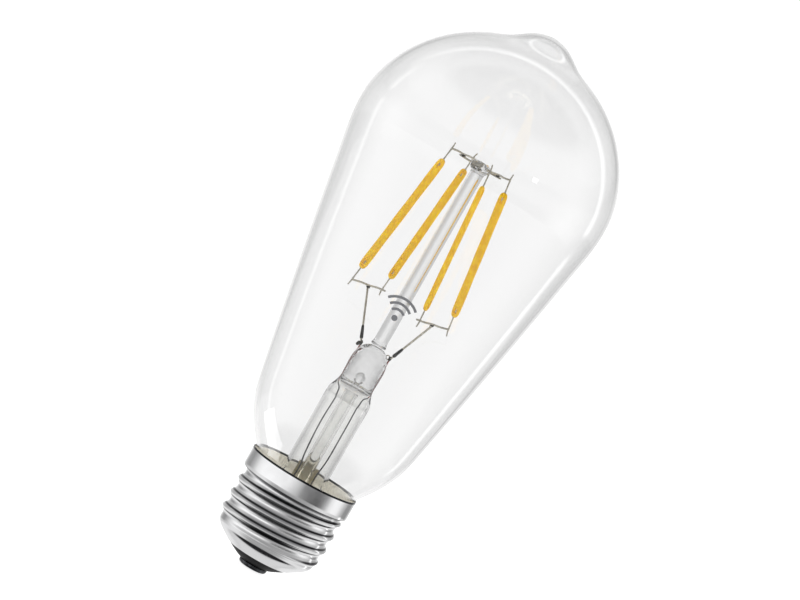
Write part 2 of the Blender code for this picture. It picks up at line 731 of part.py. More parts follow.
def lead_route(sign):
    """Places of one inner lead: along its bar, the bend, and both ends of its sleeve."""
    first, second = (0, 1) if sign < 0 else (2, 3)
    direction = bar_direction(first, second, LOWER_BAR_HEIGHT)
    below = Vector((0, 0, -BAR_RADIUS - LEAD_RADIUS - WIRE_GAP))
    middle = bar_middle(first, second, LOWER_BAR_HEIGHT) + below
    foot = Vector((sign * SEAL_X, 0, SEAL_TOP + WIRE_GAP))
    sleeve_top = foot + (middle - foot) * 0.33
    sleeve_foot = foot + (middle - foot) * 0.09
    return middle, direction, sleeve_top, sleeve_foot, foot


def inner_lead(side, sign, nickel_wire, iron):
    middle, direction, sleeve_top, sleeve_foot, foot = lead_route(sign)
    weld = direction * -sign * 0.9 * MM
    bend = middle + (sleeve_top - middle).normalized() * LEAD_BEND
    points = [*smooth_route([middle + weld, middle, bend], 4), sleeve_top, sleeve_foot, foot]
    wire(f"inner_lead_{side}", points, LEAD_RADIUS, nickel_wire, 1)
    axis = (sleeve_foot - sleeve_top).normalized()
    across = axis.cross(Vector((0, 1, 0))).normalized()
    through = axis.cross(across)
    bore = LEAD_RADIUS + WIRE_GAP
    rings = [
        strip_ring(sleeve_foot, across, through, bore, bore),
        strip_ring(sleeve_top, across, through, bore, bore),
        strip_ring(sleeve_top, across, through, SLEEVE_RADIUS, SLEEVE_RADIUS),
        strip_ring(sleeve_foot, across, through, SLEEVE_RADIUS, SLEEVE_RADIUS),
    ]
    new_object(f"lead_sleeve_{side}", rings_mesh(rings, closed=True), iron)


def seal_wire(side, sign, copper):
    x = sign * SEAL_X
    wire(f"seal_wire_{side}", [(x, 0, SEAL_TOP), (x, 0, SEAL_FOOT)], SEAL_RADIUS, copper)


def outer_lead(side, sign, wire_mat, tin):
    """A thin lead that wanders down the flare tube to its terminal on the board."""
    start = Vector((sign * SEAL_X, 0, SEAL_FOOT - WIRE_GAP))
    terminal_y = BOARD_FRONT - FIT_GAP - TERMINAL_SIZE[1] / 2
    terminal = Vector((sign * TERMINAL_PLACE, terminal_y, BOARD_TOP + FIT_GAP))
    end = terminal + Vector((0, 0, WIRE_GAP))
    drop = start.z - end.z
    wander = ((0.59, -0.13, 0.09), (0.61, -0.19, 0.36), (0.52, -0.28, 0.62), (0.41, -0.32, 0.78))
    if sign > 0:
        wander = ((0.63, -0.11, 0.06), (0.62, -0.19, 0.35), (0.61, -0.26, 0.6), (0.5, -0.32, 0.8))
    points = [start]
    points += [(sign * x * TUBE_BORE, y * TUBE_BORE, start.z - drop * share) for x, y, share in wander]
    points.append(end)
    wire(f"outer_lead_{side}", points, OUTER_LEAD_RADIUS, wire_mat)
    block(f"lead_terminal_{side}", TERMINAL_SIZE, terminal - Vector((0, 0, TERMINAL_SIZE[2] / 2)), tin)


def insulating_cup(plastic):
    outer = CUP_RADIUS
    inner = outer - CUP_WALL
    floor = CUP_FOOT + CUP_WALL
    corner = CUP_WALL + FIT_GAP
    outline = [
        (CUP_HOLE_RADIUS, CUP_FOOT),
        (outer - corner, CUP_FOOT),
        (outer, CUP_FOOT + corner),
        (outer, CUP_TOP),
        (inner, CUP_TOP),
        (inner, floor + corner / 2),
        (inner - corner / 2, floor),
        (CUP_HOLE_RADIUS, floor),
    ]
    turned("insulating_cup", outline, plastic)


def capacitor(sleeve_mat):
    radius = CAPACITOR_DIAMETER / 2
    height = CAPACITOR_HEIGHT
    groove = CAPACITOR_GROOVE
    round_off = 0.3 * MM
    outline = [
        (0, 0),
        (radius - round_off, 0),
        (radius, round_off),
        (radius, groove),
        (radius - round_off, groove + round_off),
        (radius, groove + 2 * round_off),
        (radius, height - round_off),
        (radius - round_off, height),
        (0, height),
    ]
    spot = (*CAPACITOR_PLACE, CUP_FLOOR + PARTS_LIFT)
    turned("bulk_capacitor", outline, sleeve_mat, closed=False, sides=20, at=spot)


def inductor(ferrite, copper):
    radius = INDUCTOR_DIAMETER / 2
    shaft = INDUCTOR_SHAFT_DIAMETER / 2
    flange = INDUCTOR_FLANGE
    height = INDUCTOR_HEIGHT
    spot = (*INDUCTOR_PLACE, CUP_FLOOR + PARTS_LIFT)
    core = [(0, 0), (radius, 0), (radius, flange), (shaft, flange)]
    core += [(shaft, height - flange), (radius, height - flange), (radius, height), (0, height)]
    turned("inductor_core", core, ferrite, closed=False, sides=20, at=spot)
    low = flange + FIT_GAP
    high = height - flange - FIT_GAP
    inner = shaft + FIT_GAP
    outer = radius - 2 * FIT_GAP
    coil = [(inner, low), (outer, low), (outer + FIT_GAP, (low + high) / 2), (outer, high), (inner, high)]
    turned("inductor_winding", coil, copper, sides=20, at=spot)


def resistor(body):
    wide = RESISTOR_DIAMETER / 2
    waist = wide * 0.82
    half = [(0, 0), (0.55, 0), (1, 0.08), (1, 0.23), (0.82, 0.3)]
    outline = [(share * wide, rise * RESISTOR_LENGTH) for share, rise in half]
    outline[4] = (waist, outline[4][1])
    outline += [(r, RESISTOR_LENGTH - z) for r, z in reversed(outline)]
    spot = (0, RESISTOR_FRONT, CUP_FLOOR + RESISTOR_LIFT)
    turned("fusible_resistor", outline, body, closed=False, sides=SMALL_SIDES, at=spot)


def on_board(name, size, place, front, mat, bevel):
    """A block whose front face is at a depth, centred on a place (x, z)."""
    block(name, size, (place[0], front + size[1] / 2, place[1]), mat, bevel)


def driver(mats):
    foot = CUP_FLOOR + WIRE_GAP
    size = (BOARD_WIDTH, BOARD_THICKNESS, BOARD_TOP - foot)
    on_board("driver_board", size, (0, (BOARD_TOP + foot) / 2), BOARD_FRONT, mats["board"], 0.1 * MM)
    capacitor(mats["sleeve"])
    inductor(mats["ferrite"], mats["copper"])
    resistor(mats["ceramic"])
    film_front = BOARD_FRONT - FILM_CAPACITOR_REACH - FILM_CAPACITOR_SIZE[1]
    on_board("film_capacitor", FILM_CAPACITOR_SIZE, FILM_CAPACITOR_PLACE, film_front, mats["film"], 0.4 * MM)
    back = BOARD_BACK + FIT_GAP
    on_board("bridge_rectifier", RECTIFIER_SIZE, RECTIFIER_PLACE, back, mats["chip"], 0.2 * MM)
    on_board("driver_chip", CHIP_SIZE, CHIP_PLACE, back, mats["chip"], 0.2 * MM)
    on_board("module_header", HEADER_SIZE, HEADER_PLACE, back, mats["chip"], 0.2 * MM)
    on_board("radio_module_board", MODULE_SIZE, MODULE_PLACE, MODULE_FRONT, mats["module"], 0.1 * MM)
    can_front = MODULE_FRONT + MODULE_SIZE[1] + FIT_GAP
    on_board("radio_shield_can", CAN_SIZE, CAN_PLACE, can_front, mats["can"], 0.3 * MM)


def antenna(laminate, copper):
    """A board that stands up into the stem, its folded antenna track, and the feed from the radio."""
    width = TUBE_BORE * ANTENNA_BOARD_SPREAD
    thick = ANTENNA_BOARD_THICKNESS
    middle = ANTENNA_BOARD_FOOT + ANTENNA_BOARD_HEIGHT / 2
    size = (width, thick, ANTENNA_BOARD_HEIGHT)
    on_board("antenna_board", size, (0, middle), ANTENNA_BOARD_BACK - thick, laminate, 0.1 * MM)
    y = ANTENNA_BOARD_BACK + WIRE_GAP + ANTENNA_RADIUS
    half = width / 2 - ANTENNA_MARGIN
    low = ANTENNA_BOARD_FOOT + ANTENNA_MARGIN
    step = (ANTENNA_BOARD_HEIGHT - 2 * ANTENNA_MARGIN) / (ANTENNA_ROWS - 1)
    points = []
    for row in range(ANTENNA_ROWS):
        side = 1 if row % 2 == 0 else -1
        z = low + row * step
        points += [(side * half, y, z), (0, y, z), (-side * half, y, z)]
    wire("antenna_track", points, ANTENNA_RADIUS, copper, 2)
    module_top = MODULE_PLACE[1] + MODULE_SIZE[2] / 2
    radio = (half, MODULE_FRONT + MODULE_SIZE[1] / 2, module_top + WIRE_GAP)
    bend = (half, MODULE_FRONT + MODULE_SIZE[1] / 2, module_top + 2 * FIT_GAP)
    feed = (half, y, low - ANTENNA_RADIUS * 2 - WIRE_GAP)
    wire("antenna_feed", [radio, bend, feed], ANTENNA_RADIUS, copper, 3)


def driver_wires(mats):
    front = BOARD_FRONT - WIRE_GAP
    low = CUP_FLOOR + DRIVER_WIRE_RADIUS * 2
    foot = CUP_FLOOR + RESISTOR_LIFT - WIRE_GAP
    fuse = RESISTOR_FRONT
    points = [(0, 0, SHANK_TOP + WIRE_GAP), (0, fuse * 0.06, CUP_FLOOR + 0.1 * MM), (0, fuse * 0.24, low)]
    points += [(0, fuse * 0.83, low), (0, fuse, foot)]
    wire("live_wire", points, DRIVER_WIRE_RADIUS, mats["red"])
    top = CUP_FLOOR + RESISTOR_LIFT + RESISTOR_LENGTH + WIRE_GAP
    arch = DRIVER_WIRE_RADIUS * 6
    points = [(0, fuse, top), (0, fuse * 0.93, top + arch * 0.9), (0, fuse / 2, top + arch * 1.2)]
    points.append((0, front, top + arch * 0.9))
    wire("live_link", points, DRIVER_WIRE_RADIUS, mats["red"])
    over = CUP_TOP + DRIVER_WIRE_RADIUS + WIRE_GAP
    inner = CUP_RADIUS - CUP_WALL
    reach = CUP_RADIUS - SOLDER_RADIUS * 1.5
    points = [(0.8 * MM - BOARD_WIDTH / 2, front - DRIVER_WIRE_RADIUS, BOARD_TOP - 1.2 * MM)]
    points.append((-inner + 1.9 * MM, NEUTRAL_DEPTH * 0.9, over - 0.1 * MM))
    points.append((-inner + 0.3 * MM, NEUTRAL_DEPTH, over + 0.05 * MM))
    points.append((-reach, NEUTRAL_DEPTH, over))
    wire("neutral_wire", points, DRIVER_WIRE_RADIUS * 0.8, mats["blue"])
    outline = ellipse(0, SOLDER_RADIUS, SOLDER_RADIUS, -pi / 2, pi / 2, 6)
    outline[0] = (0, -SOLDER_RADIUS)
    outline[-1] = (0, SOLDER_RADIUS)
    spot = (-reach - SOLDER_RADIUS - WIRE_GAP, NEUTRAL_DEPTH, over)
    turned("neutral_solder", outline, mats["tin"], closed=False, sides=SMALL_SIDES, at=spot)


def main():
    clear_objects()
    glass = material("clear_glass", (0.95, 0.97, 0.96), 0.02, 0.0, 1.0)
    nickel = material("nickel_plate", (0.72, 0.72, 0.72), 0.2, 1.0)
    wire_nickel = material("nickel_wire", (0.55, 0.52, 0.45), 0.35, 1.0)
    copper = material("copper", (0.75, 0.33, 0.2), 0.35, 1.0)
    tin = material("tin", (0.7, 0.7, 0.7), 0.35, 1.0)
    chip = material("moulded_epoxy", (0.02, 0.02, 0.02), 0.5)
    glass_envelope(glass)
    stem_flare_tube(glass)
    exhaust_tube(glass)
    glass_pillar(glass)
    upper_anchor_wire(wire_nickel)
    bars(wire_nickel)
    phosphor = material("phosphor_silicone", (0.78, 0.46, 0.02), 0.45)
    sapphire = material("sapphire", (0.8, 0.8, 0.75), 0.2)
    for index in range(4):
        filament(index, phosphor, sapphire, wire_nickel)
    iron = material("dark_iron", (0.05, 0.05, 0.05), 0.45, 1.0)
    outer_wire = material("tinned_wire", (0.2, 0.2, 0.2), 0.35, 1.0)
    for side, sign in (("left", -1), ("right", 1)):
        inner_lead(side, sign, wire_nickel, iron)
        seal_wire(side, sign, copper)
        outer_lead(side, sign, outer_wire, tin)
    cap_shell(nickel)
    cap_insulator(material("black_insulator", (0.01, 0.01, 0.01), 0.2))
    centre_contact(material("plated_contact", (0.6, 0.6, 0.6), 0.3, 1.0))
    capping_cement(material("capping_cement", (0.8, 0.78, 0.7), 0.8))
    insulating_cup(material("cream_plastic", (0.8, 0.76, 0.66), 0.5))
    mats = {
        "board": material("board_laminate", (0.05, 0.3, 0.12), 0.5),
        "module": material("module_laminate", (0.02, 0.08, 0.25), 0.5),
        "sleeve": material("capacitor_sleeve", (0.02, 0.03, 0.08), 0.35),
        "ferrite": material("ferrite", (0.05, 0.05, 0.05), 0.7),
        "copper": copper,
        "film": material("film_capacitor_case", (0.75, 0.5, 0.05), 0.4),
        "ceramic": material("resistor_coating", (0.25, 0.45, 0.5), 0.5),
        "chip": chip,
        "can": material("shield_can_steel", (0.7, 0.7, 0.7), 0.3, 1.0),
        "red": material("red_wire_insulation", (0.6, 0.02, 0.02), 0.4),
        "blue": material("blue_wire_insulation", (0.02, 0.08, 0.5), 0.4),
        "tin": tin,
    }
    driver(mats)
    antenna(material("cream_laminate", (0.78, 0.7, 0.5), 0.5), copper)
    driver_wires(mats)


main()
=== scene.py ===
from math import acos, atan2, cos, pi, radians, sin, sqrt

import bmesh
import bpy
from mathutils import Matrix, Vector


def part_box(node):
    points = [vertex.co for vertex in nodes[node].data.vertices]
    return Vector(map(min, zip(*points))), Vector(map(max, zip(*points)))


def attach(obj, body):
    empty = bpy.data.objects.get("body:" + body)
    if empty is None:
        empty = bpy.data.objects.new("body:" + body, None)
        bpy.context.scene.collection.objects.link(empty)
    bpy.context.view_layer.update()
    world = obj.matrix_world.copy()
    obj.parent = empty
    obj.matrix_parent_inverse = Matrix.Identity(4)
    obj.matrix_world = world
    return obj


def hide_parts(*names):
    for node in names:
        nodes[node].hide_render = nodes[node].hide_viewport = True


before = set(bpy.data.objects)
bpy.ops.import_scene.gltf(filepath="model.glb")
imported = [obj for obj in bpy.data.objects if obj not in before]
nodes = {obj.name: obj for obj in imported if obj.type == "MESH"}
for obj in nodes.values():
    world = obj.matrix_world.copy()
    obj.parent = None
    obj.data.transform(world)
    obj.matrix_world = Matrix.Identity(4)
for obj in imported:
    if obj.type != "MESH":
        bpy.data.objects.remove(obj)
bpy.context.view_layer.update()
mm = 0.001
print("frame loaded:", len(nodes), "nodes")


# ---- shapes shared by the pieces ----

def cubic(start, leave, arrive, end, steps):
    # points of a Bezier curve, without its start
    points = []
    for step in range(1, steps + 1):
        t = step / steps
        s = 1 - t
        points.append(start * s**3 + leave * 3 * s * s * t + arrive * 3 * s * t * t + end * t**3)
    return points


def arc(centre, radii, fromAngle, toAngle, steps):
    # points of an elliptic arc, both ends included
    points = []
    for step in range(steps + 1):
        angle = radians(fromAngle + (toAngle - fromAngle) * step / steps)
        points.append(Vector((centre[0] + radii[0] * cos(angle), centre[1] + radii[1] * sin(angle))))
    return points


def evenly(points, spacing):
    # the same line with points at even distances
    lengths = [0.0]
    for a, b in zip(points, points[1:]):
        lengths.append(lengths[-1] + (b - a).length)
    count = max(2, round(lengths[-1] / spacing))
    result = []
    i = 0
    for step in range(count + 1):
        at = lengths[-1] * step / count
        while i < len(points) - 2 and lengths[i + 1] < at:
            i += 1
        share = (at - lengths[i]) / (lengths[i + 1] - lengths[i])
        result.append(points[i].lerp(points[i + 1], share))
    return result


def relaxed(points, rounds):
    # takes the corners out of a line whose ends stay
    for _ in range(rounds):
        middle = [(a + b * 2 + c) / 4 for a, b, c in zip(points, points[1:], points[2:])]
        points = [points[0], *middle, points[-1]]
    return points


def offsetLine(points, distance):
    # the line moved to its left, towards the axis when it runs up
    moved = []
    for i, point in enumerate(points):
        along = (points[min(i + 1, len(points) - 1)] - points[max(i - 1, 0)]).normalized()
        moved.append(point + Vector((-along.y, along.x)) * distance)
    return moved


def curveThrough(listed, steps):
    # a curve that runs smoothly through the given points, with that many steps between each two
    points = [Vector(p) for p in listed]
    padded = [points[0] * 2 - points[1], *points, points[-1] * 2 - points[-2]]
    route = []
    for i in range(1, len(padded) - 2):
        a, b, c, d = padded[i - 1:i + 3]
        for step in range(steps):
            t = step / steps
            bend = (a * 2 - b * 5 + c * 4 - d) * t * t + (b * 3 - a - c * 3 + d) * t**3
            route.append((b * 2 + (c - a) * t + bend) / 2)
    return [*route, points[-1]]


def smoothRoute(points, spacing):
    return evenly(curveThrough(points, 12), spacing)


def finished(name, bm, material, sharp=40):
    # mesh in millimetres to an object in metres, smooth shaded
    bmesh.ops.scale(bm, vec=(mm, mm, mm), verts=bm.verts)
    mesh = bpy.data.meshes.new(name)
    bm.to_mesh(mesh)
    bm.free()
    mesh.materials.append(material)
    mesh.shade_smooth()
    mesh.set_sharp_from_angle(angle=radians(sharp))
    piece = bpy.data.objects.new(name, mesh)
    bpy.context.scene.collection.objects.link(piece)
    return piece


def spun(outline, sides, closed=False):
    # an outline of (radius, height) points turned once round the axis
    bm = bmesh.new()
    verts = [bm.verts.new((p.x, 0, p.y)) for p in outline]
    edges = [bm.edges.new(pair) for pair in zip(verts, verts[1:])]
    if closed:
        edges.append(bm.edges.new((verts[-1], verts[0])))
    bmesh.ops.spin(
        bm, geom=verts + edges, cent=(0, 0, 0), axis=(0, 0, 1), angle=2 * pi, steps=sides, use_merge=True
    )
    bmesh.ops.remove_doubles(bm, verts=bm.verts, dist=0.0005)
    bmesh.ops.recalc_face_normals(bm, faces=bm.faces)
    return bm


def lofted(rings):
    # a ring of edges extruded from station to station and capped at both ends
    bm = bmesh.new()
    made = bmesh.ops.create_circle(bm, cap_ends=False, segments=len(rings[0]), radius=1)
    ring = made["verts"]
    first = ring
    for vert, place in zip(ring, rings[0]):
        vert.co = place
    edges = list(bm.edges)
    for places in rings[1:]:
        grown = bmesh.ops.extrude_edge_only(bm, edges=edges)["geom"]
        fresh = {g for g in grown if isinstance(g, bmesh.types.BMVert)}
        edges = [g for g in grown if isinstance(g, bmesh.types.BMEdge) and all(v in fresh for v in g.verts)]
        follow = []
        for vert in ring:
            follow.append(next(e.other_vert(vert) for e in vert.link_edges if e.other_vert(vert) in fresh))
        ring = follow
        for vert, place in zip(ring, places):
            vert.co = place
    bm.faces.new(first)
    bm.faces.new(ring)
    bmesh.ops.recalc_face_normals(bm, faces=bm.faces)
    return bm


def oval(centre, across, through, halfWidth, halfThick, sides=24, power=2.0):
    # places round a point: an ellipse, or squarer with a higher power
    places = []
    for i in range(sides):
        c = cos(2 * pi * i / sides)
        s = sin(2 * pi * i / sides)
        wide = halfWidth * abs(c)**(2 / power) * (1 if c >= 0 else -1)
        thick = halfThick * abs(s)**(2 / power) * (1 if s >= 0 else -1)
        places.append(centre + across * wide + through * thick)
    return places


def wireMesh(points, radii, sides=12):
    # a round wire along the points, its radius read from the list of (share, radius)
    rings = []
    side = (points[1] - points[0]).orthogonal().normalized()
    for i, point in enumerate(points):
        along = (points[min(i + 1, len(points) - 1)] - points[max(i - 1, 0)]).normalized()
        side = (side - along * side.dot(along)).normalized()
        share = i / (len(points) - 1)
        radius = radii[-1][1]
        for (a, low), (b, high) in zip(radii, radii[1:]):
            if a <= share <= b:
                radius = low + (high - low) * (share - a) / max(b - a, 1e-6)
                break
        rings.append(oval(point, side, along.cross(side), radius, radius, sides))
    return lofted(rings)


def place(piece, slot, *replaced):
    # every piece of this lamp rides on its one body
    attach(piece, "root")
    if replaced:
        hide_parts(*replaced)


# ---- materials ----

def fromHex(text):
    # sRGB hex to linear RGBA
    values = [int(text[i:i + 2], 16) / 255 for i in (1, 3, 5)]
    return [v / 12.92 if v <= 0.04045 else ((v + 0.055) / 1.055)**2.4 for v in values] + [1.0]


def connect(tree, node, links):
    for name, source in links.items():
        tree.links.new(source, node.inputs[name])


def add(tree, kind, settings=None, links=None):
    made = tree.nodes.new(kind)
    for name, value in (settings or {}).items():
        if isinstance(name, int) or name in made.inputs:
            made.inputs[name].default_value = value
        else:
            setattr(made, name, value)
    connect(tree, made, links or {})
    return made


def newMaterial(name, settings):
    material = bpy.data.materials.new(name)
    material.use_nodes = True
    tree = material.node_tree
    shader = tree.nodes["Principled BSDF"]
    for socket, value in settings.items():
        shader.inputs[socket].default_value = value
    coords = add(tree, "ShaderNodeTexCoord")
    return material, tree, shader, coords.outputs["Object"]


def stretched(tree, vector, scale):
    return add(tree, "ShaderNodeMapping", {"Scale": scale}, {"Vector": vector}).outputs["Vector"]


def noise(tree, vector, scale, detail, roughness=0.5):
    settings = {"Scale": scale, "Detail": detail, "Roughness": roughness}
    return add(tree, "ShaderNodeTexNoise", settings, {"Vector": vector}).outputs["Fac"]


def ranged(tree, value, low, high, toLow=0.0, toHigh=1.0, kind="LINEAR"):
    settings = {"From Min": low, "From Max": high, "To Min": toLow, "To Max": toHigh}
    settings["interpolation_type"] = kind
    return add(tree, "ShaderNodeMapRange", settings, {"Value": value}).outputs["Result"]


def ramp(tree, value, listed):
    # colour by value, from (position, colour)
    made = add(tree, "ShaderNodeValToRGB", {}, {"Fac": value})
    elements = made.color_ramp.elements
    elements.remove(elements[1])
    for i, (position, colour) in enumerate(listed):
        element = elements[0] if i == 0 else elements.new(position)
        element.position = position
        element.color = colour
    return made.outputs["Color"]


def bump(tree, height, strength, depth):
    # relief from a height, its depth in mm
    settings = {"Strength": strength, "Distance": depth * mm}
    return add(tree, "ShaderNodeBump", settings, {"Height": height}).outputs["Normal"]


def blownGlass():
    # soda-lime glass, blown in a mould: clear, with a faint grey tint and soft waves that bend reflections
    material, tree, shader, coords = newMaterial("blownSodaLimeGlass", {
        "Base Color": fromHex("#FBFBFB"),
        "Roughness": 0.0,
        "IOR": 1.52,
        "Transmission Weight": 1.0,
    })
    waves = noise(tree, coords, 30.0, 0.0)
    connect(tree, shader, {"Normal": bump(tree, waves, 0.05, 0.1)})
    return material


def leadGlass():
    # drawn lead glass of the stem: denser, with long drawn streaks, and tinted grey over the press and the
    # pillar as painted shade
    material, tree, shader, coords = newMaterial("drawnLeadGlass", {
        "Roughness": 0.0,
        "IOR": 1.56,
        "Transmission Weight": 1.0,
    })
    streaks = noise(tree, stretched(tree, coords, (900, 900, 40)), 1.0, 2.0)
    # painted shade: the press and, more lightly, the pillar are tinted grey by height
    clear, pressed, pillar = fromHex("#FAFAF9"), fromHex("#E7E7E7"), fromHex("#F6F6F6")
    z = add(tree, "ShaderNodeSeparateXYZ", {}, {0: coords}).outputs["Z"]
    tint = ramp(tree, ranged(tree, z, 0.04, 0.07), [
        (0.2, clear), (0.34, pressed), (0.6, pressed), (0.66, pillar),
    ])
    connect(tree, shader, {"Base Color": tint, "Normal": bump(tree, streaks, 0.04, 0.04)})
    return material


def nickelPlate():
    # bright nickel on rolled brass: spun lines 0.15 mm apart and cloudy handling marks; painted shade darkens
    # each thread flank, the fold under the skirt and the cut rim
    material, tree, shader, coords = newMaterial("nickelPlatedBrass", {"Metallic": 1.0})
    lines = noise(tree, stretched(tree, coords, (60, 60, 1 / 0.00015)), 1.0, 3.0)
    clouds = noise(tree, coords, 220.0, 5.0)
    bright, paintedShade = fromHex("#E2E2E3"), fromHex("#232427")
    z = add(tree, "ShaderNodeSeparateXYZ", {}, {0: coords}).outputs["Z"]
    # painted shade in the fold under the skirt and along the cut rim, by height
    foldAndRimShade = ramp(tree, ranged(tree, z, 0.016, 0.026), [
        (0.385, bright), (0.4, paintedShade), (0.44, paintedShade), (0.455, bright), (0.87, bright), (0.88, paintedShade),
    ])
    # painted shade on each thread flank, by radius
    level = add(tree, "ShaderNodeVectorMath", {"operation": "MULTIPLY", 1: (1, 1, 0)}, {0: coords})
    radius = add(tree, "ShaderNodeVectorMath", {"operation": "LENGTH"}, {0: level.outputs["Vector"]})
    flankShade = ramp(tree, ranged(tree, radius.outputs["Value"], 0.01225, 0.01315), [
        (0.22, bright), (0.36, paintedShade), (0.6, paintedShade), (0.76, bright),
    ])
    darker = {"data_type": "RGBA", "blend_type": "DARKEN", 0: 1.0}
    colour = add(tree, "ShaderNodeMix", darker, {6: foldAndRimShade, 7: flankShade})
    connect(tree, shader, {
        "Base Color": colour.outputs[2],
        "Roughness": ranged(tree, clouds, 0.35, 0.7, 0.1, 0.2),
        "Normal": bump(tree, lines, 0.05, 0.01),
    })
    return material


def metalWire(name, colour, dark, roughness, grain):
    # drawn wire: streaks and patches of oxide, the grain in mm
    material, tree, shader, coords = newMaterial(name, {"Metallic": 1.0, "Roughness": roughness})
    patches = noise(tree, coords, 1 / (grain * mm), 4.0, 0.6)
    tones = ramp(tree, patches, [(0.35, fromHex(dark)), (0.6, fromHex(colour))])
    connect(tree, shader, {"Base Color": tones, "Normal": bump(tree, patches, 0.3, 0.02)})
    return material


def phosphorSilicone():
    # silicone filled with yellow phosphor powder: soft, waxy, with a fine grain of 0.12 mm
    material, tree, shader, coords = newMaterial("phosphorSilicone", {
        "Roughness": 0.5,
        "IOR": 1.35,
        "Specular IOR Level": 0.12,
        "Subsurface Weight": 0.12,
        "Subsurface Radius": (0.0006, 0.0004, 0.0001),
        "Subsurface Scale": 1.0,
    })
    grain = noise(tree, coords, 1 / 0.00012, 3.0)
    flow = noise(tree, coords, 1 / 0.0012, 2.0)
    mixed = add(tree, "ShaderNodeMath", {"operation": "MULTIPLY_ADD", 1: 0.35}, {0: grain, 2: flow})
    tones = ramp(tree, mixed.outputs["Value"], [
        (0.45, fromHex("#EBB200")), (0.68, fromHex("#F3C000")), (0.85, fromHex("#F9CE00")),
    ])
    connect(tree, shader, {"Base Color": tones, "Normal": bump(tree, grain, 0.35, 0.04)})
    return material


def vitrite():
    # black cap glass, pressed hot: a satin black with slow ripples
    material, tree, shader, coords = newMaterial("blackVitrite", {
        "Base Color": fromHex("#070708"),
        "IOR": 1.3,
        "Specular IOR Level": 0.05,
    })
    ripples = noise(tree, coords, 350.0, 2.0)
    rough = ranged(tree, ripples, 0.0, 1.0, 0.28, 0.42)
    connect(tree, shader, {"Roughness": rough, "Normal": bump(tree, ripples, 0.25, 0.1)})
    return material


def moulded(name, colour, roughness, grain, depth, second=None, glow=0.0):
    # plastic, laminate, enamel or cement: a fine grain in mm, and a second tone in its hollows; the glow stands
    # in for the light that the glass around it brings down into the cap
    material, tree, shader, coords = newMaterial(name, {"Roughness": roughness, "Emission Strength": glow})
    spots = noise(tree, coords, 1 / (grain * mm), 4.0)
    tones = ramp(tree, spots, [(0.35, fromHex(second or colour)), (0.62, fromHex(colour))])
    connect(tree, shader, {
        "Base Color": tones,
        "Emission Color": tones,
        "Normal": bump(tree, spots, 0.4, depth),
    })
    return material


glass = blownGlass()
stemGlass = leadGlass()
nickel = nickelPlate()
wireNickel = metalWire("drawnNickelWire", "#DAD5C6", "#A39D8D", 0.36, 0.5)
weldMetal = metalWire("weldScale", "#4E4A43", "#1F1E1C", 0.45, 0.25)
darkIron = metalWire("oxidisedIronWire", "#3A3936", "#171615", 0.4, 0.6)
dumet = metalWire("boratedCopper", "#B0493A", "#6E2018", 0.3, 0.4)
tinnedWire = metalWire("tinnedCopperWire", "#6A6C6E", "#2E3032", 0.3, 0.7)
tin = metalWire("dippedSolder", "#C4C6C8", "#8C8E90", 0.28, 0.5)
copper = metalWire("enamelledCopper", "#B8642E", "#7E3A18", 0.3, 0.5)
# the contact's nickel is coloured far darker than nickel: painted shade
shadedContactMetal = metalWire("contactNickelPaintedShade", "#56575A", "#2A2B2D", 0.3, 0.8)
phosphor = phosphorSilicone()
print("materials made")


# ---- glass envelope ----

bulb = {
    "diameter": 64.0, "length": 140.0, "wall": 0.8, "neckRadius": 12.3, "neckEnd": 20.9, "neckTop": 24.6,
    "collarLeave": (2.6, 3.0), "collarArrive": (1.2, 5.7), "shoulder": (20.1, 38.5),
    "taperLeans": (0.2, 0.168), "taperTop": (29.95, 92.0),
    "belly": 107.0, "domeRise": 29.8, "domePower": 1.93, "tipFoot": 10.8,
    "tipWaist": (6.6, 137.45), "tipLean": 0.8, "sides": 192, "spacing": 0.8, "softening": 5,
}


def domePoint(radius):
    # place on the dome at a radius, and how fast it rises towards the axis there
    belly = bulb["diameter"] / 2
    power = bulb["domePower"]
    share = (1 - (radius / belly)**2)**(1 / power)
    slope = 2 * radius * bulb["domeRise"] / (belly**2 * power * share**(power - 1))
    return Vector((radius, bulb["belly"] + bulb["domeRise"] * share)), slope


def envelopeLine():
    # outside of the glass from the neck's end up to the tip
    neck = Vector((bulb["neckRadius"], bulb["neckTop"]))
    shoulder = Vector(bulb["shoulder"])
    taperTop = Vector(bulb["taperTop"])
    belly = Vector((bulb["diameter"] / 2, bulb["belly"]))
    lowLean, highLean = bulb["taperLeans"]
    third = (taperTop.y - shoulder.y) / 3
    rise = (belly.y - taperTop.y) / 3
    line = [Vector((bulb["neckRadius"], bulb["neckEnd"])), neck]
    collar = neck + Vector(bulb["collarLeave"]), shoulder - Vector(bulb["collarArrive"])
    line += cubic(neck, *collar, shoulder, 24)
    line += cubic(shoulder, shoulder + Vector((lowLean * third, third)),
                  taperTop - Vector((highLean * third, third)), taperTop, 40)
    line += cubic(taperTop, taperTop + Vector((highLean * rise, rise)), belly - Vector((0, rise)), belly, 20)
    reach = acos(bulb["tipFoot"] / belly.x)
    line += [domePoint(belly.x * cos(reach * step / 50))[0] for step in range(1, 50)]
    foot, slope = domePoint(bulb["tipFoot"])
    waist = Vector(bulb["tipWaist"])
    step = (foot.x - waist.x) / 3
    line += [foot] + cubic(foot, foot + Vector((-step, slope * step)),
                           waist + Vector((step, -bulb["tipLean"] * step)), waist, 12)
    top = Vector((0, bulb["length"]))
    line += cubic(waist, waist + Vector((-step, bulb["tipLean"] * step)),
                  Vector((waist.x / 2, top.y)), top, 20)
    return relaxed(evenly(line, bulb["spacing"]), bulb["softening"])


